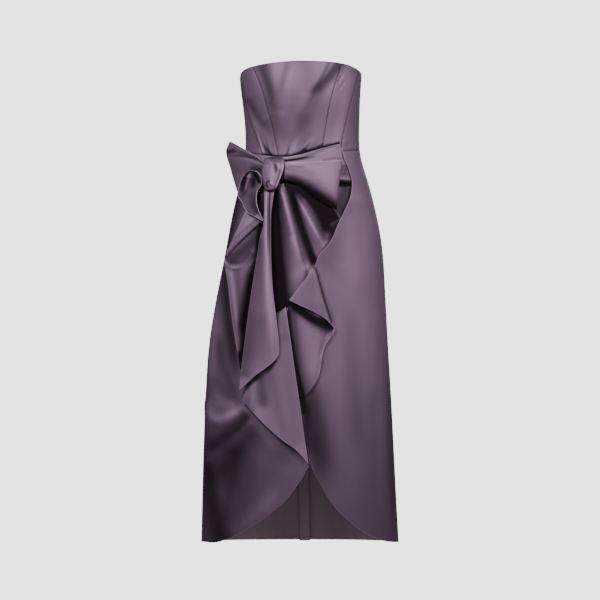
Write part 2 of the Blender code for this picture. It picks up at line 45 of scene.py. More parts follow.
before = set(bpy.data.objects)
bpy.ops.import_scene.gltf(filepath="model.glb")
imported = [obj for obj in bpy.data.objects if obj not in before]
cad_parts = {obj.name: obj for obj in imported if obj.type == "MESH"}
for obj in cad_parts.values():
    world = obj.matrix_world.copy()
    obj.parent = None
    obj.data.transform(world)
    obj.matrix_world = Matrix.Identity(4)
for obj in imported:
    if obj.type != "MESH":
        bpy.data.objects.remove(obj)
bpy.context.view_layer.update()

MM = 0.001

# Gaps at the seams, at the waist and over the seam allowance inside. A gap under zero is a lap: the panels meet a
# little past each other, so that no light shows through their seam.
SEAM_GAP = -0.12 * MM
WAIST_GAP = 0.25 * MM
INSIDE_GAP = 0.7 * MM
SIDE_SEAM_INSET = math.radians(0.05)

# The wall of the frame's solids, and the hem of the two backs.
CAD_WALL = 1.6 * MM
BACK_HEM = -0.936

# Points along the curve of a fold, how quickly the overlap settles back from its free edge, how much a hanging piece
# follows the round of the body, and the hollow in the middle of the small loop.
FOLD_STEPS = 33
OVERLAP_FALL = 0.3
HANG_ROUND = 0.5
DISH_WALL = 0.7
CURL_DISH = 13 * MM

# The body of the gown, ring by ring: where its two sides stand, and how deep it is in front and behind.
Ring = namedtuple("Ring", "height right left front back")
BODY_RINGS = (
    Ring(225, -150, 147, 98, 82),
    Ring(178, -149, 145, 110, 87),
    Ring(135, -144, 141, 113, 89),
    Ring(95, -139, 140, 104, 86),
    Ring(54, -135, 138.5, 94, 82),
    Ring(0, -134, 139, 89, 84),
    Ring(-45, -142, 152, 94, 100),
    Ring(-103, -155, 169, 102, 117),
    Ring(-155, -167, 181, 108, 126),
    Ring(-204, -176, 191, 112, 130),
    Ring(-265, -187, 197.5, 115, 130),
    Ring(-353, -205, 202, 118, 127),
    Ring(-478, -224, 209, 120, 124),
    Ring(-595, -231, 216, 121, 123),
    Ring(-732, -236, 223, 122, 124),
    Ring(-814, -238, 227, 123, 126),
    Ring(-940, -241, 234, 124, 130),
)

# Height of the top edge and of the waist seam, round the body.
Level = namedtuple("Level", "angle height")
TOP_EDGE = (
    Level(-180, 158), Level(-120, 164), Level(-90, 178), Level(-73, 192), Level(-53, 202), Level(-25, 211),
    Level(0, 215), Level(28, 213), Level(46, 208), Level(61, 200), Level(79, 190), Level(90, 182),
    Level(120, 166), Level(180, 158),
)
WAIST_SEAM = (
    Level(-180, 0), Level(-90, 0), Level(-60, -4), Level(-44, -8), Level(-25, -13), Level(-8, -13),
    Level(5, -9), Level(20, -3), Level(44, 1), Level(60, 3), Level(90, 6), Level(180, 0),
)

# Angles of the bodice seams, from the wearer's right to the left.
Seams = namedtuple("Seams", "height side_right princess_right princess_left side_left")
BODICE_SEAMS = (
    Seams(215, -101, -55, 42, 75),
    Seams(165, -96, -43.5, 35, 66),
    Seams(135, -90, -39.3, 31.5, 60.5),
    Seams(100, -71, -35.6, 27.5, 54),
    Seams(55, -60, -31, 23.8, 47.5),
    Seams(0, -45, -26, 19.2, 41),
    Seams(-13, -43, -25, 18.5, 40),
)

# A fold runs along a curve through three places. A trough has a height under zero. Lean makes the side on the
# left of its run steeper, a power of 1 makes its line sharp, and rise and fall are the parts of its length over
# which it comes and goes. A stroke of painted light and shade is laid out in the same way: its height is how much
# lighter the satin's colour is painted there as a painted highlight, or darker as painted shade when under zero.
Fold = namedtuple(
    "Fold", "start middle end height start_width end_width lean power rise fall", defaults=(0, 2, 0.18, 0.30)
)

# Common ends of a row, from lean to fall: as strong all along, growing slowly into a gathered seam, growing faster
# into a seam, and fading quickly at both tips.
EVEN = (0, 2, 0.02, 0.02)
GATHER = (0, 2, 0.7, 0.05)
INTO_SEAM = (0, 2, 0.5, 0.02)
SHORT_ENDS = (0, 2, 0.1, 0.1)


def strokes(*rows):
    """Folds, or strokes of painted light and shade, from the rows of a table."""
    return tuple(Fold(*row) for row in rows)


def outline(top, foot, right, left):
    """The four edges of a sheet. The corners are the ends of its top and foot, and its sides lie between them."""
    return top, foot, (top[0], *right, foot[0]), (top[-1], *left, foot[-1])


BODICE_FOLDS = strokes(
    ((-11, 226), (-35, 137), (-47, 29), 2.2, 21.6, 14.4),
    ((-49, 101), (-54, 41), (-49, -7), 2, 14.4, 7.2),
    ((95, 245), (49, 163), (-6, 53), -4.2, 14.4, 14.4, -0.3),
    ((59, 221), (30, 149), (-13, 53), 2.2, 14.4, 14.4),
    ((-112, 206), (-90, 163), (-66, 106), -2.2, 14.4, 12),
    ((-140, 125), (-119, 91), (-85, 29), -1.8, 9.6, 7.2),
    ((92, 197), (85, 178), (78, 154), 0.8, 2.2, 2.9),
    ((97, 182), (92, 170), (85, 158), -0.9, 2.4, 2.9),
    ((104, 168), (97, 156), (85, 142), -0.7, 2.6, 2.9),
    ((-133, 82), (-116, 34), (-100, -19), -2.2, 3.8, 3.4, 0.3, 2, 0.7, 0.05),
    ((-121, 86), (-107, 38), (-90, -19), 1.6, 4.3, 3.4, *GATHER),
    ((-104, 58), (-95, 19), (-80, -24), -1.4, 3.4, 2.9, *GATHER),
    ((-90, 43), (-83, 10), (-68, -24), -1.6, 3.4, 2.4, *GATHER),
    ((-66, 58), (-64, 14), (-59, -24), 1, 5.8, 3.8, *GATHER),
    ((-11, 62), (-23, 19), (-40, -24), -1.5, 5.8, 3.4, *GATHER),
    ((6, 53), (-11, 14), (-32, -24), 1.7, 5.8, 3.8, *GATHER),
    ((25, 48), (6, 14), (-23, -22), -1.9, 5.3, 3.4, *GATHER),
    ((40, 43), (18, 12), (-6, -19), 1.6, 5.3, 3.8, *GATHER),
    ((54, 38), (35, 12), (11, -14), -1.7, 4.8, 3.4, *GATHER),
    ((73, 38), (56, 14), (35, -10), 1.2, 4.8, 3.8, *GATHER),
)
# Painted light and shade on the bodice: painted highlights, and painted shade in its gathers and at the waist seam.
BODICE_PAINTED_SHADING = strokes(
    ((-18, 206), (-37, 113), (-47, -10), 0.02, 12, 12, 0, 2, 0.4, 0.3),
    ((-95, 226), (-80, 154), (-61, 72), -0.3, 16.8, 12, 0, 2, 0.1, 0.3),
    ((-23, 230), (-40, 182), (-54, 115), -0.14, 12, 7.2, 0, 2, 0.1, 0.4),
    ((107, 240), (61, 173), (11, 132), -0.42, 14.4, 9.6, -0.2, 2.4, 0.1, 0.35),
    ((54, 163), (28, 106), (-18, 24), -0.14, 16.8, 16.8, 0, 2, 0.3, 0.3),
    ((-4, 226), (16, 182), (11, 125), -0.1, 24, 19.2, 0, 2, 0.05, 0.4),
    ((121, 197), (102, 113), (80, 5), 0.13, 14.4, 12, 0, 2, 0.2, 0.1),
    ((92, -1), (116, 2), (140, 6), -0.8, 1.9, 1.9, *EVEN),
    ((-80, 86), (-56, 53), (-32, 5), -0.14, 21.6, 21.6),
    ((6, 96), (-1, 48), (-13, 0), -0.1, 21.6, 21.6),
    ((-133, 134), (-104, 86), (-68, 34), -0.14, 8.4, 7.2, -0.3, 2, 0.2, 0.3),
    ((-148, 178), (-138, 101), (-131, 5), -0.14, 7.2, 7.2, 0, 2, 0.2, 0.2),
    ((145, 178), (138, 101), (133, 5), -0.16, 7.2, 7.2, 0, 2, 0.2, 0.2),
    ((-126, 53), (-114, 22), (-95, -19), -0.42, 3.8, 4.8, *INTO_SEAM),
    ((-112, 58), (-102, 19), (-92, -19), -0.28, 1.7, 1.9, *INTO_SEAM),
    ((-92, 24), (-80, 0), (-61, -24), -0.75, 2.4, 4.3, *INTO_SEAM),
    ((-28, 19), (-32, 0), (-42, -24), -0.25, 2.9, 3.4, *INTO_SEAM),
    ((28, 29), (4, 2), (-28, -22), -0.62, 2.6, 4.3, 0, 2, 0.6, 0.02),
    ((16, 5), (4, -2), (-13, -17), -0.5, 2.4, 3.4, *INTO_SEAM),
    ((61, 22), (37, 7), (6, -17), -0.62, 2.9, 5.3, *INTO_SEAM),
    ((-11, 38), (-20, 10), (-32, -14), 0.08, 4.8, 4.8, 0, 2, 0.4, 0.1),
    ((11, 24), (-1, 12), (-18, -5), 0.08, 3.4, 3.8, 0, 2, 0.4, 0.1),
    ((-109, -5), (-47, -15), (16, -3), -1.3, 4.1, 4.6, *EVEN),
    ((4, -5), (44, 6), (92, 20), -1.2, 4.6, 2.9, *EVEN),
)
UNDERLAP_FOLDS = strokes(
    ((-220, -576), (-203, -643), (-124, -600), 5, 16.8, 14.4, -0.3, 1.8),
    ((-124, -624), (-167, -667), (-220, -706), -4.5, 12, 19.2, 0.4, 1.8),
    ((-210, -538), (-181, -590), (-133, -590), -4, 16.8, 14.4),
    ((-157, -427), (-167, -499), (-167, -576), -3.5, 16.8, 16.8),
    ((-157, -691), (-186, -811), (-210, -979), -7, 28.8, 21.6, 0.2),
    ((-71, -720), (-114, -835), (-176, -970), 6, 31.2, 24),
    ((-28, -691), (-61, -773), (-109, -864), -2.5, 24, 21.6),
)
# Painted light and shade on the underlap: painted shadow under the sash and knot, shade in hollows, highlights.
UNDERLAP_PAINTED_SHADING = strokes(
    ((-232, -427), (-236, -691), (-241, -950), -0.22, 7.2, 9.6),
    ((-152, -91), (-172, -182), (-188, -264), -0.55, 19.2, 9.6, 0, 2, 0.02, 0.1),
    ((-184, -264), (-172, -403), (-150, -557), -0.55, 10.6, 14.4, 0.2, 2, 0.1, 0.3),
    ((-196, -427), (-181, -528), (-140, -595), -0.22, 12, 12),
    ((-210, -355), (-212, -475), (-217, -571), 0.16, 9.6, 9.6),
    ((-229, -576), (-205, -638), (-124, -600), 0.27, 16.8, 9.6, 0, 2, 0.3, 0.2),
    ((-124, -624), (-167, -672), (-239, -720), -0.38, 9.6, 19.2, 0.3, 2, 0.1, 0.2),
    ((-95, -655), (-157, -715), (-215, -811), -0.22, 21.6, 28.8),
    ((-100, -653), (-152, -730), (-205, -835), -0.14, 52.8, 57.6),
    ((-52, -797), (-109, -864), (-176, -912), 0.12, 19.2, 21.6, 0, 2, 0.2, 0.1),
    ((-4, -710), (-52, -730), (-100, -754), -0.1, 24, 24),
    ((-229, -730), (-215, -823), (-191, -943), -0.34, 14.4, 21.6, 0, 2, 0.2, 0.05),
    ((-148, -682), (-157, -811), (-172, -943), -0.1, 62.4, 72, 0, 2, 0.2, 0.02),
    ((-52, -77), (-25, -82), (6, -89), -1.4, 7.2, 9.6, *EVEN),
    ((88, -78), (104, -79), (126, -79), -1.5, 5.8, 5.8, 0, 4, 0.01, 0.01),
    ((112, -86), (104, -115), (85, -158), -0.45, 21.6, 19.2, 0, 3, 0.02, 0.1),
)
OVERLAP_FOLDS = strokes(
    ((11, -528), (32, -653), (59, -816), -2.4, 19.2, 24),
    ((102, -475), (114, -667), (136, -955), 4, 28.8, 31.2, 0, 2, 0.5, 0.3),
    ((179, -559), (186, -739), (196, -979), -3, 19.2, 24),
    ((116, -149), (126, -259), (131, -427), 2, 26.4, 31.2),
)
# Painted light and shade on the overlap: soft painted shade in its troughs and faint painted highlights.
OVERLAP_PAINTED_SHADING = strokes(
    ((112, -106), (83, -202), (35, -288), -0.15, 38.4, 43.2, 0, 2, 0.1, 0.2),
    ((1, -538), (28, -658), (54, -835), -0.42, 24, 28.8, -0.2, 2, 0.25, 0.35),
    ((11, -586), (11, -667), (16, -744), -0.3, 9.6, 12),
    ((0, -576), (3, -600), (7, -634), -0.9, 6.2, 3.8, 0, 2, 0.02, 0.3),
    ((116, -355), (121, -547), (145, -763), -0.1, 24, 24),
    ((222, -427), (217, -691), (229, -950), -0.16, 9.6, 16.8),
    ((164, -91), (155, -283), (150, -451), 0.03, 28.8, 33.6),
    ((121, -82), (136, -202), (131, -355), 0.07, 38.4, 38.4),
    ((68, -355), (59, -451), (40, -547), -0.08, 19.2, 19.2),
)
BACK_FOLDS = strokes(
    ((-150, -330), (-158, -640), (-166, -1010), 7, 26, 34),
    ((-84, -420), (-88, -700), (-92, -1010), -6, 24, 30),
    ((-40, -300), (-44, -640), (-48, -1010), 3, 20, 26),
    ((72, -380), (82, -680), (90, -1010), 7, 26, 32),
    ((40, -460), (46, -700), (50, -1010), -3, 16, 22),
    ((150, -420), (158, -700), (164, -1010), -6, 24, 30),
)
BACK_BODICE_FOLDS = strokes(
    ((-96, 60), (-60, 34), (-8, 22), -1.6, 8, 6),
    ((96, 54), (56, 30), (8, 18), -1.6, 8, 6),
    ((-110, 20), (-80, 30), (-40, 60), 1.4, 8, 9),
    ((112, 16), (84, 28), (48, 56), 1.4, 8, 9),
)

# Outlines in front view, as (x, z, stands out), each from its top or from the wearer's right.
UNDERLAP_EDGE = (
    (106, -2, 0), (118, -40, 0), (128, -85, 0), (124, -125, 0), (110, -175, 0), (84, -264, 0),
    (56, -355, 0), (40, -475, 0), (32, -595, 0), (27, -691, 0), (20, -746, 0),
)
UNDERLAP_HEM = (
    (-241, -934, 0), (-215, -935, 0), (-183, -927, 0), (-130, -901, 0), (-77, -866, 0), (-38, -832, 0),
    (-2, -784, 0), (20, -746, 0),
)
OVERLAP_EDGE = (
    (97, 0, 7), (103, -19, 9), (114, -46, 11), (121, -77, 12), (119, -101, 14), (105, -138, 18), (85, -180, 23),
    (76, -203, 24.5), (60, -229, 25.5), (42, -248, 26), (27, -295, 19), (12, -367, 8), (0, -475, 6), (-3, -595, 6),
    (6, -691, 5), (25, -758, 5),
)
OVERLAP_HEM = (
    (25, -758, 5), (44, -793, 4), (65, -828, 4), (93, -863, 3), (135, -899, 2), (170, -920, 1),
    (205, -932, 0), (234, -936, 0),
)

SASH_OUTLINE = outline(
    top=((-46, -16, 5), (-4, -9, 5), (44, 5, 4), (90, 17, 3)),
    foot=((-46, -60, 5), (44, -70, 5), (127, -77, 4)),
    right=((-46, -38, 5),),
    left=((102, -2, 3), (117, -34, 4)),
)
SASH_FOLDS = strokes(
    ((-49, -19), (-11, -17), (40, -5), 1.4, 2.6, 3.4, 0, 1.8),
    ((-49, -26), (-11, -24), (49, -14), -1.8, 2.9, 3.4, 0, 1.8),
    ((30, -5), (54, 2), (88, 12), -1.2, 2.9, 2.9),
    ((44, -29), (80, -22), (116, -22), -2, 5.8, 4.8),
    ((88, -48), (107, -50), (126, -58), 1.6, 6.2, 6.2),
)
# Painted light and shade on the sash: painted shadow lines along its top and foot, a painted highlight between.
SASH_PAINTED_SHADING = strokes(
    ((-49, -26), (-13, -20), (20, -13), -0.75, 1.9, 1.7, 0, 2, 0.05, 0.3),
    ((-44, -19), (-11, -16), (16, -8), 0.12, 1.9, 1.9),
    ((-95, -19), (-28, -19), (68, 5), -0.25, 2.4, 2.4),
    ((104, -26), (107, -48), (107, -67), -0.22, 19.2, 16.8),
    ((83, -74), (104, -74), (131, -77), -0.9, 4.8, 4.8, 0, 3, 0.02, 0.02),
)

FAN_OUTLINE = outline(
    top=((-110, -84, 10), (-66, -84, 12), (-42, -77, 12), (0, -85, 8), (46, -118, 7), (83, -147, 7)),
    foot=((-80, -400, 2.4), (-40, -372, 5), (0, -348, 6), (34, -306, 6), (60, -262, 7), (90, -205, 7)),
    right=((-100, -150, 9), (-90, -211, 8), (-86, -331, 2.4)),
    left=((90, -164, 7), (94, -184, 7)),
)
FAN_FOLDS = strokes(
    ((-49, -82), (-26, -170), (13, -346), 17, 8.6, 17.8, 0.15),
    ((-23, -91), (13, -156), (61, -259), 14, 8.6, 15.8, 0.1),
    ((-56, -84), (-54, -132), (-52, -192), 3, 3.4, 4.3),
    ((-64, -86), (-56, -235), (-42, -427), -2, 7.2, 14.4),
    ((11, -101), (44, -149), (78, -226), -3, 10.6, 14.4),
)
# Painted light and shade on the fan: painted highlights on its ridges, deep painted shade in its valleys.
FAN_PAINTED_SHADING = strokes(
    ((-49, -82), (-28, -163), (13, -336), 0.08, 5.8, 14.4, 0, 2, 0.05, 0.1),
    ((-1, -132), (19, -168), (54, -240), 0.05, 5.8, 12, 0, 2, 0.3, 0.1),
    ((-13, -82), (28, -120), (66, -202), -1.1, 8.6, 11, 0, 2.4, 0.02, 0.1),
    ((-42, -77), (4, -94), (73, -149), -1.3, 7.2, 12, 0, 2.4, 0.02, 0.02),
    ((-68, -77), (-64, -211), (-47, -398), -1.5, 12, 19.2, 0, 2.6, 0.02, 0.02),
    ((-32, -77), (-4, -168), (37, -283), -1.05, 8.2, 9.1, 0.1, 2.2, 0.02, 0.1),
    ((11, -115), (35, -163), (59, -218), -0.3, 6.7, 8.2, *SHORT_ENDS),
    ((-26, -197), (-19, -245), (-6, -317), 0.17, 8.2, 13.2, 0, 2, 0.15, 0.15),
    ((-30, -82), (-11, -103), (8, -137), -0.6, 11, 12, 0, 2, 0.02, 0.6),
    ((-59, -91), (-47, -192), (-23, -374), -0.3, 7.2, 15.6, 0, 2, 0.05, 0.02),
    ((-25, -106), (-8, -192), (16, -274), -0.22, 9.6, 14.4, *SHORT_ENDS),
    ((6, -91), (47, -122), (80, -168), -1.3, 14.4, 16.8, 0, 2, 0.02, 0.05),
    ((71, -144), (78, -180), (59, -228), -0.6, 15.4, 9.6, 0, 2, 0.05, 0.3),
    ((-104, -77), (-102, -115), (-95, -158), -1.3, 14.4, 9.6, *EVEN),
)

TAIL_OUTLINE = outline(
    top=((-88, -88, 28.8), (-76, -88, 29.8), (-64, -88, 28.8)),
    foot=((-148, -568, 26), (-131, -554, 27), (-109, -534, 28), (-83, -515, 29), (-64, -499, 29), (-54, -485, 29)),
    right=(
        (-90, -172, 28.8), (-99, -208, 29), (-107, -257, 30), (-115, -307, 30), (-122, -355, 30), (-129, -403, 29),
        (-135, -451, 28), (-141, -499, 27),
    ),
    left=((-73, -163, 30), (-72, -247, 31), (-69, -318, 31), (-61, -391, 31), (-53, -474, 29)),
)
TAIL_FOLDS = strokes(
    ((-83, -82), (-85, -235), (-73, -547), 8, 6.2, 16.8, 0.35),
    ((-95, -199), (-109, -341), (-133, -523), -0.8, 9.6, 14.4),
    ((-68, -91), (-76, -175), (-73, -259), -3, 3.4, 4.8),
)
# Painted light and shade on the front tail: a painted highlight down its crest, painted shade at its sides and top.
TAIL_PAINTED_SHADING = strokes(
    ((-83, -86), (-83, -235), (-68, -480), 0.12, 4.8, 12, *SHORT_ENDS),
    ((-100, -192), (-121, -367), (-143, -547), -0.24, 9.6, 24, 0, 2, 0.1, 0.05),
    ((-95, -379), (-107, -451), (-124, -518), -0.1, 28.8, 28.8),
    ((-73, -91), (-76, -187), (-64, -427), -0.45, 2.9, 4.3, 0, 2, 0.1, 0.5),
    ((-95, -91), (-80, -94), (-61, -91), -0.7, 3.8, 3.8, *EVEN),
)

SIDE_OUTLINE = outline(
    top=((-118, -104, 10.5), (-106, -100, 10.5), (-94, -98, 10.5)),
    foot=((-147, -518, 12), (-144, -520, 12), (-141, -518, 12)),
    right=(
        (-126, -128, 18), (-138, -154, 23), (-153, -186, 23), (-171, -225, 21), (-184, -254, 19), (-176, -319, 15),
        (-167, -393, 13), (-151, -490, 12),
    ),
    left=((-92, -150, 17), (-94, -190, 17), (-100, -253, 15), (-108, -318, 14), (-122, -400, 13), (-134, -470, 12)),
)
SIDE_FOLDS = strokes(
    ((-90, -149), (-136, -182), (-200, -247), 3, 10.6, 7.2, 0.3, 1.8),
    ((-85, -168), (-130, -205), (-186, -257), -5, 9.6, 6.2, -0.6, 1.8),
    ((-196, -247), (-148, -278), (-95, -197), 2, 6.7, 5.8, -0.4, 2),
    ((-176, -278), (-164, -355), (-149, -475), 3, 9.6, 6.2),
    ((-107, -240), (-122, -346), (-140, -475), -5, 8.6, 6.7),
)
# Painted light and shade on the side tail: a painted highlight on its facet, painted shade under its crease.
SIDE_PAINTED_SHADING = strokes(
    ((-95, -144), (-128, -173), (-167, -226), 0.04, 9.6, 7.2),
    ((-88, -168), (-131, -202), (-184, -257), -0.5, 2.4, 1.9, -0.5, 2, 0.02, 0.05),
    ((-95, -187), (-128, -228), (-181, -262), -0.46, 19.2, 12, 0, 2.6, 0.02, 0.02),
    ((-114, -240), (-140, -262), (-174, -266), -0.3, 9.6, 6.2, 0, 2.2, 0.1, 0.1),
    ((-144, -475), (-146, -504), (-148, -533), -0.8, 5.8, 5.8, 0, 2, 0.1, 0.05),
    ((-186, -257), (-148, -283), (-102, -206), 0.06, 2.9, 2.9, *SHORT_ENDS),
    ((-155, -278), (-149, -355), (-143, -475), -0.22, 13, 7.2, 0, 2, 0.05, 0.1),
    ((-95, -168), (-114, -322), (-143, -504), -1.2, 6.2, 9.6, 0, 2, 0.03, 0.05),
    ((-112, -254), (-130, -350), (-143, -451), -0.8, 13, 9.6, 0, 2, 0.3, 0.2),
    ((-107, -101), (-100, -127), (-97, -166), -1.3, 13.2, 6.2, 0, 2, 0.02, 0.05),
)

POINT_OUTLINE = outline(
    top=((-88, -413, 4), (-62, -391, 9), (-38, -371, 9.5)),
    foot=((-141, -593, 15), (-128, -607, 15), (-98, -641, 14), (-47, -687, 12), (-15, -710, 10), (16, -743, 9)),
    right=((-99, -450, 15), (-118, -534, 16)),
    left=((-35, -389, 15), (-27, -442, 18), (-18, -506, 17), (-7, -581, 14), (3, -653, 11)),
)
POINT_FOLDS = strokes(
    ((-85, -490), (-90, -571), (-104, -643), -3, 12, 14.4),
    ((-64, -451), (-54, -571), (-30, -701), 3.5, 14.4, 14.4),
    ((-119, -540), (-119, -590), (-126, -641), 2.6, 8.6, 8.6),
)
# Painted light and shade on the long point: painted shadow under the front tail's foot, soft painted shade.
POINT_PAINTED_SHADING = strokes(
    ((-61, -492), (-92, -521), (-145, -569), -0.6, 7.2, 8.6, 0, 2, 0.15, 0.1),
    ((-92, -528), (-95, -571), (-85, -624), -0.28, 12, 14.4),
    ((-56, -427), (-37, -586), (-4, -710), -0.09, 38.4, 28.8, 0, 2, 0.05, 0.1),
    ((-54, -370), (-44, -422), (-32, -480), -0.18, 16.8, 14.4, 0, 2, 0.02, 0.6),
    ((-143, -576), (-128, -605), (-109, -624), -0.14, 9.6, 9.6),
)

FLAP_OUTLINE = outline(
    top=((24, -274, 30), (28, -271, 30), (33, -273, 29)),
    foot=((-29, -355, 22), (-6, -367, 23), (22, -380, 22), (58, -401, 18.5), (79, -424, 14.9)),
    right=((14, -299, 28), (-4, -322, 25)),
    left=((46, -315, 25), (59, -354, 21), (71, -390, 18)),
)
FLAP_FOLDS = strokes(
    ((28, -278), (32, -331), (37, -403), 2.4, 9.6, 19.2),
    ((37, -288), (54, -346), (78, -418), -1.8, 3.8, 4.8),
)
# Painted light and shade on the flap: painted shade along its fold line and apex, a faint painted highlight.
FLAP_PAINTED_SHADING = strokes(
    ((16, -266), (28, -274), (40, -288), -0.3, 7.2, 7.2, *EVEN),
    ((35, -278), (52, -346), (76, -418), -0.5, 2.4, 3.6, 0, 2, 0.02, 0.1),
    ((28, -331), (35, -367), (49, -398), 0.02, 9.6, 9.6),
    ((-4, -331), (35, -367), (68, -403), -0.05, 72, 72, 0, 4, 0.02, 0.02),
)

FLOUNCE_OUTLINE = outline(
    top=((-33, -356, 13), (0, -358, 12), (38, -372, 12), (68, -402, 12)),
    foot=((-6, -590, 8), (4, -586, 8), (14, -577, 8)),
    right=((-30, -439, 13), (-19, -523, 12)),
    left=((78, -426, 13), (66, -448, 13), (55, -467, 12), (48, -495, 11), (42, -531, 11), (28, -558, 10)),
)
FLOUNCE_FOLDS = strokes(
    ((32, -355), (35, -470), (13, -600), 5, 14.4, 11),
    ((68, -394), (59, -442), (42, -499), -2.4, 5.8, 6.7),
    ((-23, -370), (-16, -451), (-6, -571), -4, 8.2, 6.2),
)
# Painted light and shade on the flounce: painted shadow under the flap's hem and beside the long point.
FLOUNCE_PAINTED_SHADING = strokes(
    ((-35, -358), (20, -395), (78, -418), -1.3, 4.3, 11, *EVEN),
    ((-23, -365), (25, -403), (73, -432), -0.35, 9.6, 14.4, *SHORT_ENDS),
    ((-37, -355), (-23, -475), (6, -605), -1.2, 6.2, 6.7, *EVEN),
    ((-32, -365), (-18, -475), (8, -600), -0.42, 19.2, 19.2, 0, 2, 0.1, 0.02),
    ((11, -418), (30, -475), (20, -566), 0.03, 12, 9.6),
    ((76, -427), (64, -456), (49, -480), -0.1, 4.8, 4.8),
)

CURL_OUTLINE = outline(
    top=((-125, -48, 38), (-121, -47, 38), (-117, -48, 38)),
    foot=((-92, -167, 30), (-91, -166, 30)),
    right=(
        (-134, -54, 38), (-141, -64, 38), (-146, -77, 38), (-150, -91, 38), (-152, -105, 37.5), (-148, -113, 37),
        (-141, -122, 36), (-136, -135, 35), (-127, -147, 34), (-109, -157, 32),
    ),
    left=(
        (-107, -50, 36.5), (-100, -57, 33), (-95, -68, 29.6), (-95, -79, 28.7), (-101, -88, 30), (-106, -96, 32),
        (-108, -108, 34), (-108, -120, 35), (-105, -135, 34), (-99, -151, 32),
    ),
)
CURL_FOLDS = strokes(
    ((-123, -55), (-130, -79), (-139, -110), 3.4, 2.6, 4.8),
    ((-132, -62), (-138, -82), (-143, -106), -1.6, 3.4, 4.3),
)
# Painted light and shade on the small loop: painted shade under its arch, a painted highlight on its inner fold.
CURL_PAINTED_SHADING = strokes(
    ((-143, -84), (-121, -46), (-99, -79), -1, 3.6, 3.6, 0, 2.2, 0.02, 0.02),
    ((-113, -53), (-114, -70), (-117, -96), -0.6, 7.2, 6.7, 0, 2.2, 0.02, 0.3),
    ((-125, -58), (-130, -77), (-138, -103), 0.28, 3.4, 4.1, 0, 2, 0.3, 0.3),
    ((-133, -62), (-138, -82), (-144, -101), -0.3, 2.9, 3.1),
    ((-133, -62), (-131, -110), (-107, -154), -0.36, 28.8, 19.2, *EVEN),
    ((-138, -67), (-143, -91), (-136, -120), -0.2, 8.2, 9.6, 0, 2, 0.1, 0.3),
)

KNOT_OUTLINE = outline(
    top=((-87, -17, 12), (-64, -14, 13), (-44, -16, 12)),
    foot=((-85, -93, 31), (-73, -96, 32), (-60, -92, 31)),
    right=((-93, -34, 25), (-96, -48, 29), (-95, -67, 31), (-90, -84, 31)),
    left=((-41, -26, 23), (-42, -38, 28.3), (-47, -58, 30.6), (-54, -76, 31)),
)
KNOT_FOLDS = strokes(
    ((-67, -2), (-71, -55), (-74, -115), 8, 20.2, 15.8, 0, 2.4),
    ((-69, -24), (-61, -41), (-63, -62), -2, 5.3, 4.8, 0, 2, 0.45, 0.45),
    ((-44, -19), (-48, -50), (-65, -96), 2, 3.8, 3.6, 0.3, 1.8, 0.1, 0.1),
    ((-54, -19), (-54, -36), (-59, -50), 1.2, 3.6, 2.9),
    ((-77, -77), (-71, -79), (-67, -85), 1.6, 4.6, 4.1, 0, 2.4, 0.1, 0.1),
)
# Painted light and shade on the knot: painted shade at its edges and under it, painted highlights on its folds.
KNOT_PAINTED_SHADING = strokes(
    ((-88, -14), (-96, -50), (-89, -89), -0.5, 3.1, 3.1, *EVEN),
    ((-80, -29), (-79, -48), (-72, -70), 0.1, 7.2, 7.2),
    ((-69, -24), (-61, -41), (-62, -60), -0.5, 4.1, 3.6, 0, 2, 0.4, 0.5),
    ((-76, -19), (-59, -25), (-44, -23), -0.22, 3.8, 3.4),
    ((-54, -26), (-54, -38), (-57, -50), 0.12, 2.9, 2.4),
    ((-43, -26), (-47, -55), (-63, -91), 0.26, 1.7, 1.7, 0, 2, 0.2, 0.1),
    ((-50, -38), (-54, -60), (-62, -77), -0.34, 2.2, 2.2, 0, 2, 0.2, 0.1),
    ((-90, -15), (-64, -17), (-37, -16), -0.5, 2.4, 2.4, *EVEN),
    ((-72, -71), (-83, -78), (-78, -90), -0.6, 1.9, 1.9, 0, 2, 0.2, 0.1),
    ((-76, -78), (-70, -78), (-66, -84), 0.12, 3.1, 2.9),
    ((-63, -74), (-62, -83), (-67, -91), -0.34, 1.7, 1.7),
    ((-97, -94), (-76, -96), (-56, -91), -0.8, 2.9, 2.9, *EVEN),
)

# The bow loops: the top, end and foot of each from the knot outwards.
LOOP_LEFT_TOP = ((-41, -27), (-4, -28), (44, -25), (97, -23))
LOOP_LEFT_END = ((97, -23), (94, -55), (89, -91), (86, -122), (84, -150))
LOOP_LEFT_FOOT = ((-41, -72), (-26, -74), (8, -94), (44, -122), (84, -150))
LOOP_RIGHT_TOP = ((-92, -27), (-110, -12), (-138, 6), (-172, 25))
LOOP_RIGHT_END = ((-172, 25), (-181, -1), (-170, -48), (-155, -104))
LOOP_RIGHT_FOOT = ((-92, -72), (-112, -90), (-134, -101), (-155, -104))
LOOP_LEFT_FOLDS = strokes(
    ((-47, -36), (-4, -41), (61, -50), 2.4, 6.2, 15.4),
    ((-44, -62), (-4, -77), (59, -106), -3, 4.8, 12),
)
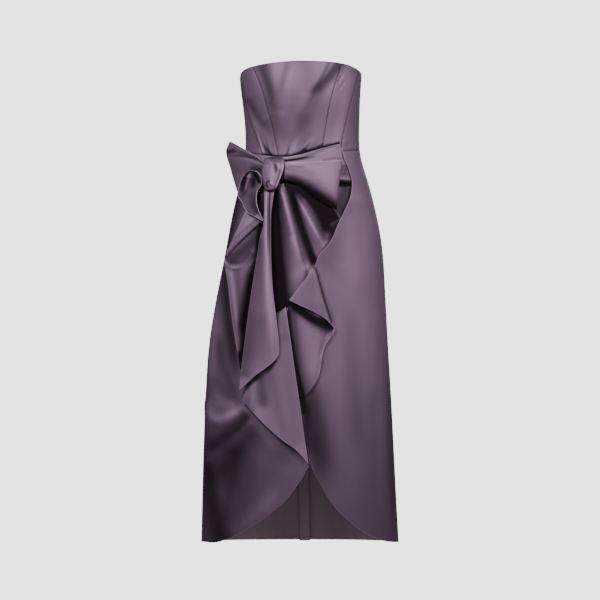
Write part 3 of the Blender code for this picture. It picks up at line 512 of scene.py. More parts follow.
# Painted light and shade on the left loop: a painted highlight along its top, painted shadow under its foot.
LOOP_LEFT_PAINTED_SHADING = strokes(
    ((-37, -46), (16, -43), (78, -58), 0.05, 12, 19.2, 0, 2, 0.1, 0.2),
    ((-37, -35), (-13, -38), (16, -38), -0.2, 2.9, 3.8),
    ((-44, -26), (16, -18), (95, -24), 0.16, 1.9, 1.9, 0, 2, 0.05, 0.05),
    ((-54, -77), (4, -94), (97, -163), -1.6, 8.6, 25.2, 0.2, 2, 0.01, 0.01),
    ((95, -34), (90, -86), (85, -149), -0.12, 7.2, 7.2),
)
LOOP_RIGHT_FOLDS = strokes(
    ((-90, -22), (-124, -5), (-179, 14), 3.6, 4.1, 7.7, 0, 1.8),
    ((-90, -29), (-124, -14), (-181, -2), -3.8, 3.6, 6, 0, 1.8),
    ((-88, -53), (-126, -53), (-172, -60), -2.5, 6, 13.9),
)
# Painted light and shade on the right loop: a painted highlight on its top fold, painted shade below it.
LOOP_RIGHT_PAINTED_SHADING = strokes(
    ((-85, -48), (-128, -43), (-181, -48), -0.2, 28.8, 38.4, *EVEN),
    ((-85, -26), (-109, -13), (-138, 0), 0.34, 2.9, 4.3, 0, 2, 0.05, 0.4),
    ((-85, -32), (-128, -14), (-181, -10), -0.42, 2.6, 2.4, 0, 2, 0.02, 0.3),
    ((-184, -5), (-172, 0), (-152, 2), -0.5, 5.8, 4.8, 0, 2, 0.1, 0.3),
    ((-90, -48), (-109, -43), (-128, -38), -0.35, 9.6, 9.6, 0, 2, 0.1, 0.4),
    ((-174, 25), (-136, 5), (-95, -14), -0.3, 1.7, 1.7),
)

# How far the back layer of a loop stands out, how far the layers part at the knot, how far the back layer is tucked
# up at its foot, where along the loop it opens widest, how square its end is, its steps, and where its foot starts
# to roll in.
LOOP_BACK_STANDS = 5.8 * MM
LOOP_ROOT_DEPTH = 14.3 * MM
LOOP_BACK_TUCK = 22 * MM
LOOP_BELLY_PLACE = 0.8
LOOP_END_POWER = 3
LOOP_ROWS = 46
LOOP_TURNS = 97
LOOP_STEPS = 41
ROLL_START = 0.45

# The pressed seam allowance inside centre back: its sides in degrees, its ends, and its steps.
SEAM_STRIP_SIDES = (173.8, 180.4)
SEAM_STRIP_TOP = -0.600
SEAM_STRIP_FOOT = -0.9385
SEAM_STRIP_ROWS = 80
SEAM_STRIP_COLUMNS = 14

# Passes that settle a panel between its two levels, steps down the bodice and the skirt, how close the first steps
# lie to an edge, the least length they are reckoned from, and the rough lengths and width of a panel.
LEVEL_PASSES = 6
BODICE_STEPS = 90
SKIRT_STEPS = 190
EDGE_STEPS = (0.8 * MM, 2.2 * MM)
LEAST_SPAN = 40 * MM
BODICE_HEIGHT = 0.2
SKIRT_LENGTH = 0.94
PANEL_WIDTH = 0.15

# How the satin lies at a pressed seam and the painted shade along it, the painted highlight along a turned edge,
# the darkest and lightest that painted light and shade can make it, and the painted shade that darkens the skirt
# fronts towards the hem.
SEAM_DEPTH = -0.5 * MM
SEAM_REACH = 1.5 * MM
SEAM_PAINTED_SHADE = -0.26
SEAM_FLAT = 0.9 * MM
EDGE_REACH = 1.3 * MM
EDGE_PAINTED_HIGHLIGHT = 0.2
CURL_EDGE_PAINTED_HIGHLIGHT = 0.74
DARKEST = 0.10
LIGHTEST = 1.9
HEM_PAINTED_SHADE = -0.36
HEM_PAINTED_SHADE_START = -0.40

# An edge sharper than this is rounded.
ROUNDED_FROM = math.radians(55)

# The satin: the usual distance between its slubs and between its soft waves, how slubs and waves are drawn
# out along the warp, how much the slubs add to its height, how far its colour wavers, and its sheen and relief.
SLUB_SPACING = 1.0 * MM
WAVE_SPACING = 30 * MM
SLUB_STRETCH = (1.0, 0.06, 1.0)
WAVE_STRETCH = (1.0, 1.0, 0.45)
SLUB_HEIGHT = 0.04
COLOUR_WAVER = (0.93, 1.07)
DEEP_ROUGHNESS = 0.3
SPECULAR = 0.35
SHEEN = {"Sheen Weight": 0.04, "Sheen Roughness": 0.4, "Sheen Tint": (0.80, 0.62, 0.84, 1)}
RELIEF = {"Strength": 0.35, "Distance": 0.9 * MM}

# The stage: its floor, what the camera and the gown see of the room, and the soft lights.
FLOOR_SIDES = 128
FLOOR_THICKNESS = 0.02
FLOOR_LOOK = {"Base Color": (0.88, 0.88, 0.88, 1), "Roughness": 0.8}
BACKDROP = {"Color": (1, 1, 1, 1), "Strength": 3.0}
ROOM = {"Color": (0.95, 0.93, 1.0, 1), "Strength": 0.06}
LIGHT_TARGET = Vector((0, 0, -0.10))
Light = namedtuple("Light", "name place size power")
LIGHTS = (
    Light("key", (-1.3, -2.8, 1.9), 1.4, 165),
    Light("fill", (2.3, -2.7, 1.3), 1.6, 135),
    Light("back", (0.6, 3.0, 1.4), 2.0, 110),
)
CAMERA_REACH = 60

# Shifts in height, and the part that each has in the eased body.
EASE = ((-36, 0.1), (-18, 0.25), (0, 0.3), (18, 0.25), (36, 0.1))

BOTH_SIDES = ("satin", "satin_wrong_side")

# The pieces. A side is a named seam of the bodice or an angle.
Tube = namedtuple("Tube", "name right left columns folds tones rests_on")
BODICE_PANELS = (
    Tube(
        "bodice_centre_front", "princess_right", "princess_left", 84, BODICE_FOLDS, BODICE_PAINTED_SHADING,
        "bodice_side_front_left",
    ),
    Tube(
        "bodice_side_front_right", "side_right", "princess_right", 40, BODICE_FOLDS, BODICE_PAINTED_SHADING,
        "bodice_centre_front",
    ),
    Tube(
        "bodice_side_front_left", "princess_left", "side_left", 34, BODICE_FOLDS, BODICE_PAINTED_SHADING,
        "bodice_centre_front",
    ),
    Tube("bodice_back_left", "side_left", 180, 72, BACK_BODICE_FOLDS, (), "bodice_side_front_left"),
    Tube("bodice_back_right", -180, "side_right", 72, BACK_BODICE_FOLDS, (), "bodice_side_front_right"),
)
SKIRT_BACKS = (
    Tube("skirt_back_left", 90, 180, 76, BACK_FOLDS, (), "bodice_back_left"),
    Tube("skirt_back_right", -180, -90, 76, BACK_FOLDS, (), "bodice_back_right"),
)
Front = namedtuple("Front", "name seam_angle edge hem folds tones columns rests_on")
SKIRT_FRONTS = (
    Front(
        "skirt_underlap_right", -90, UNDERLAP_EDGE, UNDERLAP_HEM, UNDERLAP_FOLDS, UNDERLAP_PAINTED_SHADING, 120,
        "bodice_centre_front",
    ),
    Front(
        "skirt_overlap_left", 90, OVERLAP_EDGE, OVERLAP_HEM, OVERLAP_FOLDS, OVERLAP_PAINTED_SHADING, 100, "bodice_back_left"
    ),
)
Loop = namedtuple("Loop", "name outline outwards folds tones roll depth")
LOOPS = (
    Loop(
        "bow_loop_left", (LOOP_LEFT_TOP, LOOP_LEFT_END, LOOP_LEFT_FOOT), 1, LOOP_LEFT_FOLDS, LOOP_LEFT_PAINTED_SHADING,
        0.75, 22 * MM,
    ),
    Loop(
        "bow_loop_right", (LOOP_RIGHT_TOP, LOOP_RIGHT_END, LOOP_RIGHT_FOOT), -1, LOOP_RIGHT_FOLDS, LOOP_RIGHT_PAINTED_SHADING,
        0.6, 17 * MM,
    ),
)
Sheet = namedtuple("Sheet", "name outline rows columns folds tones held rests_on dish", defaults=(0,))
SASH = Sheet("sash_left", SASH_OUTLINE, 40, 90, SASH_FOLDS, SASH_PAINTED_SHADING, "gathered", "bodice_back_left")
CURL = Sheet("bow_curl_right", CURL_OUTLINE, 90, 60, CURL_FOLDS, CURL_PAINTED_SHADING, "folded", "bow_knot", CURL_DISH)
KNOT = Sheet("bow_knot", KNOT_OUTLINE, 70, 50, KNOT_FOLDS, KNOT_PAINTED_SHADING, "gathered", "bow_loop_left")
DRAPES = (
    Sheet("drape_fan", FAN_OUTLINE, 120, 150, FAN_FOLDS, FAN_PAINTED_SHADING, "gathered", "bow_knot"),
    Sheet("drape_point", POINT_OUTLINE, 120, 60, POINT_FOLDS, POINT_PAINTED_SHADING, "draped", "drape_fan"),
    Sheet("drape_flap", FLAP_OUTLINE, 60, 50, FLAP_FOLDS, FLAP_PAINTED_SHADING, "folded", "drape_flounce"),
    Sheet("drape_flounce", FLOUNCE_OUTLINE, 90, 60, FLOUNCE_FOLDS, FLOUNCE_PAINTED_SHADING, "draped", "skirt_overlap_left"),
)
TAILS = (
    Sheet("tail_side_right", SIDE_OUTLINE, 150, 60, SIDE_FOLDS, SIDE_PAINTED_SHADING, "folded", "bow_knot"),
    Sheet("tail_front", TAIL_OUTLINE, 150, 60, TAIL_FOLDS, TAIL_PAINTED_SHADING, "draped", "bow_knot"),
)


class GownSizes(PropertyGroup):
    """The thickness and edges of the cloth"""

    wall: FloatProperty(
        name="Cloth thickness", description="Thickness of the satin", default=1.2 * MM, min=0.3 * MM, unit="LENGTH"
    )
    edge_round: FloatProperty(
        name="Edge rounding", description="Rounding of the turned edges", default=0.35 * MM, min=0.0, unit="LENGTH"
    )
    edge_turns: IntProperty(
        name="Edge steps", description="Steps in the rounding of an edge", default=2, min=1, max=4
    )


class GownFinish(PropertyGroup):
    """The colours and weave of the satin"""

    satin: FloatVectorProperty(
        name="Satin", description="Colour of the satin face", default=(0.165, 0.101, 0.160), subtype="COLOR"
    )
    wrong_side: FloatVectorProperty(
        name="Wrong side", description="Colour of the duller inside", default=(0.128, 0.085, 0.118), subtype="COLOR"
    )
    allowance: FloatVectorProperty(
        name="Seam allowance", description="Colour of the pressed seam inside", default=(0.150, 0.101, 0.142),
        subtype="COLOR",
    )
    weave: FloatProperty(
        name="Weave", description="Distance between slubs of the weave", default=1.1 * MM, unit="LENGTH"
    )


class GownStage(PropertyGroup):
    """The floor and the camera"""

    floor_drop: FloatProperty(
        name="Floor", description="How far the floor lies under the waist", default=1.12, unit="LENGTH"
    )
    floor_radius: FloatProperty(name="Floor radius", description="Radius of the floor", default=0.60, unit="LENGTH")
    camera_distance: FloatProperty(
        name="Camera", description="Distance of the camera from the waist", default=12.0, unit="LENGTH"
    )
    frame_width: FloatProperty(
        name="Frame width", description="Width that the picture shows at the waist", default=1.44, unit="LENGTH"
    )
    aim_x: FloatProperty(name="Aim x", description="Middle of the picture across", default=-0.0036, unit="LENGTH")
    aim_z: FloatProperty(name="Aim z", description="Middle of the picture up", default=-0.3552, unit="LENGTH")


def smooth(places, values, at):
    """A smooth line through a table that never goes past its values."""
    places = np.asarray(places, float)
    values = np.asarray(values, float)
    step = np.diff(places)
    slope = np.diff(values) / step
    product = slope[1:] * slope[:-1]
    same_way = product > 0
    total = np.where(same_way, slope[1:] + slope[:-1], 1)
    inner = np.where(same_way, 2 * product / total, 0)
    tangent = np.concatenate([slope[:1], inner, slope[-1:]])
    at = np.clip(at, places[0], places[-1])
    k = np.clip(np.searchsorted(places, at) - 1, 0, len(step) - 1)
    t = (at - places[k]) / step[k]
    return (
        values[k] * (1 + 2 * t) * (1 - t) ** 2
        + values[k + 1] * t * t * (3 - 2 * t)
        + step[k] * (tangent[k] * t * (1 - t) ** 2 + tangent[k + 1] * t * t * (t - 1))
    )


def column(table, name, at):
    """A named column of a table, in metres or degrees, read at heights or angles."""
    rows = sorted(table, key=lambda row: row[0])
    return smooth([row[0] for row in rows], [getattr(row, name) for row in rows], at)


def body(height):
    """Centre, half width, front depth and back depth of the body at a height in metres, eased between the rings."""
    at = np.asarray(height) / MM
    right, left, front, back = (
        sum(part * column(BODY_RINGS, name, at + shift) for shift, part in EASE) * MM for name in Ring._fields[1:]
    )
    return (right + left) / 2, (left - right) / 2, front, back


def wrapped(angle, height, stands=0.0, fold=0.0):
    """Points round the body: moved forward by stands, and outwards by fold. Angles are in radians."""
    centre, half, front, back = body(height)
    deep = np.where(np.cos(angle) >= 0, front, back)
    outward = np.stack([np.sin(angle) / half, -np.cos(angle) / deep, 0 * angle], -1)
    outward /= np.linalg.norm(outward, axis=-1, keepdims=True)
    points = np.stack([centre + half * np.sin(angle), -deep * np.cos(angle) - stands, height + 0 * angle], -1)
    return points + outward * np.asarray(fold)[..., None]


def hanging(x, height, stands):
    """Points of a piece that hangs in front of the body and may reach past its sides."""
    centre, half, front, _ = body(height)
    across = (x - centre) / half
    return np.stack([x, -front * (1 - HANG_ROUND * across**2) - stands, height], -1)


def angle_of(x, height):
    """The angle round the front of the body at a front-view place."""
    centre, half, _, _ = body(height)
    return np.arcsin(np.clip((x - centre) / half, -1, 1))


def steps(count, length):
    """Parts of a length from 0 to 1, with close steps at both ends for a crisp edge."""
    near = np.array(EDGE_STEPS) / max(length, LEAST_SPAN)
    inner = np.linspace(2 * near[-1], 1 - 2 * near[-1], count)
    return np.concatenate([[0], near, inner, 1 - near[::-1], [1]])


def reach(points):
    """Length of a line through front-view places, in metres."""
    return MM * float(np.linalg.norm(np.diff(np.array(points, float)[:, :2], axis=0), axis=1).sum())


def line_through(points, at):
    """A smooth line through points, in metres, at parts of its length."""
    points = np.array(points, float) * MM
    run = np.concatenate([[0], np.cumsum(np.linalg.norm(np.diff(points[:, :2], axis=0), axis=1))])
    return np.stack([smooth(run, points[:, k], at * run[-1]) for k in range(points.shape[1])], -1)


def stretched(top, foot, right, left, across, down):
    """A sheet of points between four edges. Top and foot run from the wearer's right to the left."""
    u = across[None, :, None]
    v = down[:, None, None]
    over = (1 - v) * top[None] + v * foot[None]
    along = (1 - u) * right[:, None] + u * left[:, None]
    corners = (1 - u) * ((1 - v) * top[0] + v * foot[0]) + u * ((1 - v) * top[-1] + v * foot[-1])
    return over + along - corners


def lift(x, z, folds):
    """What a set of folds, or of strokes of painted light and shade, adds up to at front-view places."""
    total = 0 * x
    t = np.linspace(0, 1, FOLD_STEPS)
    for fold in folds:
        start, middle, end = (np.array(place) * MM for place in (fold.start, fold.middle, fold.end))
        bend = 2 * middle - (start + end) / 2
        line = ((1 - t) ** 2)[:, None] * start + (2 * t * (1 - t))[:, None] * bend + (t**2)[:, None] * end
        run = np.gradient(line, axis=0)
        near = ((x[..., None] - line[:, 0]) ** 2 + (z[..., None] - line[:, 1]) ** 2).argmin(-1)
        off_x, off_z = x - line[near, 0], z - line[near, 1]
        length = np.linalg.norm(run[near], axis=-1)
        ahead = (off_x * run[near, 0] + off_z * run[near, 1]) / length
        place = np.clip(t[near] + ahead / length / (FOLD_STEPS - 1), 0, 1)
        past = np.where((near == 0) & (ahead < 0) | (near == FOLD_STEPS - 1) & (ahead > 0), ahead, 0)
        side = (run[near, 0] * off_z - run[near, 1] * off_x) / length
        width = MM * (fold.start_width + (fold.end_width - fold.start_width) * place)
        width = width * np.where(side > 0, 1 - fold.lean, 1 + fold.lean)
        rise = np.clip(place / fold.rise, 0, 1)
        fall = np.clip((1 - place) / fold.fall, 0, 1)
        strength = rise * rise * (3 - 2 * rise) * fall * fall * (3 - 2 * fall)
        apart = np.sqrt(side**2 + past**2) / width
        total = total + fold.height * strength * np.exp(-(apart**fold.power))
    return total


def fold_heights(x, z, folds):
    """How far a set of folds lifts the cloth at front-view places, in metres."""
    return MM * lift(x, z, folds)


def tube_points(panel, top, foot, rows, length):
    """A panel of the tube between its two seams and two levels. A level gives the height at an angle in degrees."""
    right, left = (seam(side) if isinstance(side, str) else fixed(side) for side in (panel.right, panel.left))
    u = steps(panel.columns, PANEL_WIDTH)[None, :]
    v = steps(rows, length)[:, None]
    height = top(0.0) * (1 - v) + foot(0.0) * v + 0 * u
    for _ in range(LEVEL_PASSES):
        _, half, front, _ = body(height)
        inset = np.degrees(SEAM_GAP / 2 / np.minimum(half, front))
        angle = (right(height) + inset) * (1 - u) + (left(height) - inset) * u
        height = top(angle) * (1 - v) + foot(angle) * v
    angle = np.radians(angle)
    flat = wrapped(angle, height)
    return wrapped(angle, height, fold=fold_heights(flat[..., 0], height, panel.folds))


def level(table, drop=0.0):
    """The height of a table at any angle, in metres, less a drop."""
    return lambda angle: column(table, "height", angle) * MM - drop


def seam(name):
    """The angle of a named bodice seam at any height."""
    return lambda height: column(BODICE_SEAMS, name, np.asarray(height) / MM)


def fixed(value):
    """The same value everywhere."""
    return lambda at: value + 0 * np.asarray(at)


def front_points(seam_angle, edge, hem, folds, columns):
    """A skirt front from its side seam to its free edge, with the rounded hem between them."""
    down = steps(SKIRT_STEPS, SKIRT_LENGTH)
    across = steps(columns, PANEL_WIDTH)
    seam_radians = math.radians(seam_angle) - math.copysign(SIDE_SEAM_INSET, seam_angle)
    edge_x, edge_z, edge_stands = line_through(edge, down).T
    hem_x, hem_z, hem_stands = line_through(hem, across).T
    free_edge = np.stack([angle_of(edge_x, edge_z), edge_z, edge_stands], -1)
    hem_line = np.stack([angle_of(hem_x, hem_z), hem_z, hem_stands], -1)
    leftward = seam_angle > 0
    seam_end, edge_end = (-1, 0) if leftward else (0, -1)
    near_edge = 1 - across if leftward else across
    hem_line[seam_end, 0] = seam_radians
    waist_angle = seam_radians + (free_edge[0, 0] - seam_radians) * near_edge
    waist_z = column(WAIST_SEAM, "height", np.degrees(waist_angle)) * MM - WAIST_GAP
    top = np.stack([waist_angle, waist_z, edge_stands[0] * near_edge], -1)
    free_edge[:, 1] += (top[edge_end, 1] - free_edge[0, 1]) * (1 - down)
    free_edge[-1] = hem_line[edge_end]
    side_z = top[seam_end, 1] + (hem_line[seam_end, 1] - top[seam_end, 1]) * down
    side = np.stack([np.full(len(down), seam_radians), side_z, np.zeros(len(down))], -1)
    right, left = (free_edge, side) if leftward else (side, free_edge)
    angle, height, stands = np.moveaxis(stretched(top, hem_line, right, left, across, down), -1, 0)
    if leftward:
        stands = stands * (1 - across)[None, :] ** OVERLAP_FALL
    flat = wrapped(angle, height)
    return wrapped(angle, height, stands, fold_heights(flat[..., 0], height, folds))


def edge_points(sheet):
    """The steps across and down a sheet and its four edge lines."""
    top, foot, right, left = sheet.outline
    width, length = (max(reach(a), reach(b)) for a, b in ((top, foot), (right, left)))
    across, down = steps(sheet.columns, width), steps(sheet.rows, length)
    lines = [line_through(line, at) for line, at in ((top, across), (foot, across), (right, down), (left, down))]
    return across, down, lines


def laid_points(sheet):
    """A sheet laid round the front of the body."""
    across, down, lines = edge_points(sheet)
    edges = [np.stack([angle_of(line[:, 0], line[:, 1]), line[:, 1], line[:, 2]], -1) for line in lines]
    angle, height, stands = np.moveaxis(stretched(*edges, across, down), -1, 0)
    flat = wrapped(angle, height)
    return wrapped(angle, height, stands, fold_heights(flat[..., 0], height, sheet.folds))


def hung_points(sheet):
    """A sheet that hangs in front of the body."""
    across, down, edges = edge_points(sheet)
    x, height, stands = np.moveaxis(stretched(*edges, across, down), -1, 0)
    hollow = np.sin(math.pi * across)[None, :] ** DISH_WALL * np.sin(math.pi * down)[:, None] ** DISH_WALL
    stands = stands - sheet.dish * hollow + fold_heights(x, height, sheet.folds)
    return hanging(x, height, stands)


def loop_points(loop):
    """A strip that leaves the knot, turns round at its end and comes back behind itself."""
    part = steps(LOOP_ROWS, reach(loop.outline[1]))
    along = np.linspace(0, 1, LOOP_STEPS)
    top, end, foot = loop.outline
    edges = [line_through(line, along) for line in (top, foot)]
    end_line = line_through(end, part)
    end_bow = end_line - (end_line[0] + part[:, None] * (end_line[-1] - end_line[0]))
    rolled = loop.roll * np.clip((part - ROLL_START) / (1 - ROLL_START), 0, 1) ** 2
    points = np.zeros((len(part), LOOP_TURNS, 3))
    for k, turn in enumerate(np.linspace(0, math.pi, LOOP_TURNS)):
        far = math.sin(turn)
        behind = (1 - math.cos(turn)) / 2
        upper, lower = (np.array([np.interp(far, along, edge[:, c]) for c in (0, 1)]) for edge in edges)
        x, z = (upper + part[:, None] * (lower - upper) + far**LOOP_END_POWER * end_bow).T
        z = z + LOOP_BACK_TUCK * behind * part
        belly = math.sin(math.pi / 2 * min(far / LOOP_BELLY_PLACE, 1))
        opening = (LOOP_ROOT_DEPTH + (loop.depth - LOOP_ROOT_DEPTH) * belly) * (1 - rolled)
        stands = LOOP_BACK_STANDS + opening * (1 - behind)
        points[:, k] = hanging(x, z, stands + fold_heights(x, z, loop.folds) * (1 - behind) ** 2)
    return points if loop.outwards > 0 else points[:, ::-1]


def strip_points():
    """The pressed seam allowance inside the centre back."""
    down = np.linspace(SEAM_STRIP_TOP, SEAM_STRIP_FOOT, SEAM_STRIP_ROWS)
    across = np.radians(np.linspace(*SEAM_STRIP_SIDES, SEAM_STRIP_COLUMNS))
    height, angle = np.meshgrid(down, across, indexing="ij")
    flat = wrapped(angle, height)
    inwards = fold_heights(flat[..., 0], height, BACK_FOLDS) - CAD_WALL - INSIDE_GAP
    return wrapped(angle, height, fold=inwards)


def run_lengths(points, axis):
    """The length of cloth along each row or column of a sheet of points, from its start to each point."""
    step = np.linalg.norm(np.diff(points, axis=axis), axis=-1)
    start = np.zeros_like(np.take(step, [0], axis=axis))
    return np.concatenate([start, np.cumsum(step, axis=axis)], axis=axis)


def edge_distances(points):
    """How far each point lies from the four edges of its sheet, measured in the cloth."""
    across, down = run_lengths(points, 1), run_lengths(points, 0)
    return {"right": across, "left": across[:, -1:] - across, "top": down, "foot": down[-1:] - down}


def pressed(points, seams):
    """The sheet sunk a little along its seams."""
    rows = np.gradient(points, axis=0)
    columns = np.gradient(points, axis=1)
    outward = np.cross(rows, columns)
    outward /= np.maximum(np.linalg.norm(outward, axis=-1, keepdims=True), 1e-12)
    away = edge_distances(points)
    for name in seams:
        slope = np.maximum(away[name] - SEAM_FLAT, 0) / SEAM_REACH
        points = points + outward * SEAM_DEPTH * np.exp(-(slope**2))[..., None]
    return points


def shades(points, tones, seams, rim, hem):
    """Painted light and shade at each point as a factor on the colour: its strokes, painted shade at seams and hem,
    painted edge highlights.
    """
    x, z = points[..., 0], points[..., 2]
    total = lift(x, z, tones)
    # Painted shade that deepens towards the hem.
    total = total + hem * np.clip((HEM_PAINTED_SHADE_START - z) / (HEM_PAINTED_SHADE_START - BACK_HEM), 0, 1)
    away = edge_distances(points)
    # Painted shade along the seams, and a painted highlight along the free edges.
    for name, distance in away.items():
        if name in seams:
            total = total + SEAM_PAINTED_SHADE * np.exp(-((distance / SEAM_REACH) ** 2))
        else:
            total = total + rim * np.exp(-((distance / EDGE_REACH) ** 2))
    return np.clip(10**total, DARKEST, LIGHTEST)


def cloth(name, points, tones, seams, sizes, rim=EDGE_PAINTED_HIGHLIGHT, hem=0, material_names=BOTH_SIDES):
    points = pressed(points, seams)
    rows, columns = points.shape[:2]
    index = np.arange(rows * columns).reshape(rows, columns)
    corners = (index[:-1, :-1], index[1:, :-1], index[1:, 1:], index[:-1, 1:])
    faces = np.stack([corner.ravel() for corner in corners], -1)
    mesh = bpy.data.meshes.new(name)
    mesh.from_pydata(points.reshape(-1, 3).tolist(), [], faces.tolist())
    across = run_lengths(points, 1)
    down = run_lengths(points, 0)
    grain = np.stack([across.ravel(), down.ravel()], -1)
    layer = mesh.uv_layers.new(name="grain")
    layer.data.foreach_set("uv", grain[faces.ravel()].astype(np.float32).ravel())
    # The shade attribute carries the painted light and shade that darkens or lightens the satin's colour.
    shade = mesh.attributes.new("shade", "FLOAT", "POINT")
    shade.data.foreach_set("value", shades(points, tones, seams, rim, hem).astype(np.float32).ravel())
    for material_name in material_names:
        mesh.materials.append(bpy.data.materials[material_name])
    piece = bpy.data.objects.new(name, mesh)
    bpy.context.scene.collection.objects.link(piece)
    bpy.ops.object.select_all(action="DESELECT")
    piece.select_set(True)
    bpy.context.view_layer.objects.active = piece
    wall = piece.modifiers.new("wall", "SOLIDIFY")
    wall.thickness = sizes.wall
    wall.offset = -1
    wall.material_offset = 1
    wall.material_offset_rim = 0
    turned = piece.modifiers.new("turned edge", "BEVEL")
    turned.limit_method = "ANGLE"
    turned.angle_limit = ROUNDED_FROM
    turned.width = sizes.edge_round
    turned.segments = sizes.edge_turns
    for modifier in ("wall", "turned edge"):
        bpy.ops.object.modifier_apply(modifier=modifier)
    bpy.ops.object.shade_smooth()
    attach(piece, "root")
    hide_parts(name)


def sheet_cloth(sheet, points, sizes, seams=(), rim=EDGE_PAINTED_HIGHLIGHT):
    """Makes the piece of a row in the tables of sheets."""
    cloth(sheet.name, points, sheet.tones, seams, sizes, rim)


def feed(tree, node, inputs):
    """Links each named input of a node to a socket, or gives it a value."""
    for name, value in inputs.items():
        if isinstance(value, NodeSocket):
            tree.links.new(value, node.inputs[name])
        else:
            node.inputs[name].default_value = value


def new_node(tree, kind, inputs=(), **settings):
    """A node with its settings and inputs."""
    node = tree.nodes.new(kind)
    for name, value in settings.items():
        setattr(node, name, value)
    feed(tree, node, dict(inputs))
    return node


def slub_group():
    """Slubs and soft waves of the weave: a height, and a value that varies the colour."""
    group = bpy.data.node_groups.new("satin_weave", "ShaderNodeTree")
    for name, default in (("Slub spacing", SLUB_SPACING), ("Wave spacing", WAVE_SPACING)):
        socket = group.interface.new_socket(name, in_out="INPUT", socket_type="NodeSocketFloat")
        socket.default_value = default
    for name in ("Height", "Shade"):
        group.interface.new_socket(name, in_out="OUTPUT", socket_type="NodeSocketFloat")
    spacing = new_node(group, "NodeGroupInput").outputs
    grain = new_node(group, "ShaderNodeUVMap", uv_map="grain").outputs["UV"]
    place = new_node(group, "ShaderNodeTexCoord").outputs["Object"]

    def math_node(operation, *values):
        return new_node(group, "ShaderNodeMath", enumerate(values), operation=operation).outputs[0]

    def noise(source, apart, stretch, **inputs):
        """Noise whose coordinates are divided by a spacing and drawn out along the warp."""
        count = math_node("DIVIDE", 1.0, apart)
        scale = new_node(group, "ShaderNodeVectorMath", {0: source, "Scale": count}, operation="SCALE")
        draw = new_node(group, "ShaderNodeVectorMath", {0: scale.outputs[0], 1: stretch}, operation="MULTIPLY")
        inputs = {"Scale": 1.0, "Vector": draw.outputs[0], **inputs}
        return new_node(group, "ShaderNodeTexNoise", inputs).outputs["Fac"]

    slub = noise(grain, spacing["Slub spacing"], SLUB_STRETCH, Detail=2.0)
    wave = noise(place, spacing["Wave spacing"], WAVE_STRETCH, Detail=3.0, Roughness=0.45)
    height = math_node("ADD", wave, math_node("MULTIPLY", slub, SLUB_HEIGHT))
    shade = math_node("MULTIPLY_ADD", slub, 0.5, math_node("MULTIPLY", wave, 0.5))
    new_node(group, "NodeGroupOutput", {"Height": height, "Shade": shade})


def satin(name, colour, roughness, metal, weave, with_painted_shade=True):
    """A satin whose colour wavers a little with its weave. With painted shade, the painted light and shade of the
    shade attribute scales its colour, and its roughness and metallic follow it.
    """
    material = bpy.data.materials.new(name)
    material.use_nodes = True
    material.diffuse_color = (*colour, 1)
    tree = material.node_tree
    shader = tree.nodes["Principled BSDF"]
    feed(tree, shader, {"Roughness": roughness, "Specular IOR Level": SPECULAR, **SHEEN})
    group = new_node(
        tree, "ShaderNodeGroup", {"Slub spacing": weave}, node_tree=bpy.data.node_groups["satin_weave"]
    )
    darker, lighter = ((*(part * c for c in colour), 1) for part in COLOUR_WAVER)
    waver = {"A": darker, "B": lighter, "Factor": group.outputs["Shade"]}
    tone = new_node(tree, "ShaderNodeMix", waver, data_type="RGBA").outputs["Result"]
    bump = new_node(tree, "ShaderNodeBump", {**RELIEF, "Height": group.outputs["Height"]})
    look = {"Base Color": tone, "Normal": bump.outputs["Normal"]}
    if with_painted_shade:
        # The painted light and shade from the shade attribute scales the colour.
        lie = new_node(tree, "ShaderNodeAttribute", attribute_name="shade").outputs["Fac"]
        laid = new_node(tree, "ShaderNodeVectorMath", {0: tone, "Scale": lie}, operation="SCALE")
        look["Base Color"] = laid.outputs[0]
        # Where the painted shade is darkest, roughness rises and metallic reaches 1, dimming highlights there too.
        for socket, deep, open_face in (
            ("Roughness", min(1.0, roughness + DEEP_ROUGHNESS), roughness), ("Metallic", 1.0, metal),
        ):
            spread = new_node(tree, "ShaderNodeMapRange", {"To Min": deep, "To Max": open_face, "Value": lie})
            look[socket] = spread.outputs["Result"]
    feed(tree, shader, look)


class GOWN_OT_finish(Operator):
    """Make the satin and its wrong side"""

    bl_idname = "gown.finish"
    bl_label = "Satin"

    def execute(self, context):
        finish = context.scene.gown_finish
        slub_group()
        satin("satin", finish.satin, roughness=0.58, metal=0.42, weave=finish.weave)
        satin("satin_wrong_side", finish.wrong_side, roughness=0.65, metal=0.0, weave=finish.weave, with_painted_shade=False)
        satin("seam_allowance", finish.allowance, roughness=0.5, metal=0.2, weave=finish.weave)
        return {"FINISHED"}


class GOWN_OT_bodice(Operator):
    """Cut and join the five panels of the bodice"""

    bl_idname = "gown.bodice"
    bl_label = "Bodice"

    def execute(self, context):
        seams = ("right", "left", "top", "foot")
        for panel in BODICE_PANELS:
            points = tube_points(panel, level(TOP_EDGE), level(WAIST_SEAM), BODICE_STEPS, BODICE_HEIGHT)
            cloth(panel.name, points, panel.tones, seams, context.scene.gown_sizes)
        return {"FINISHED"}


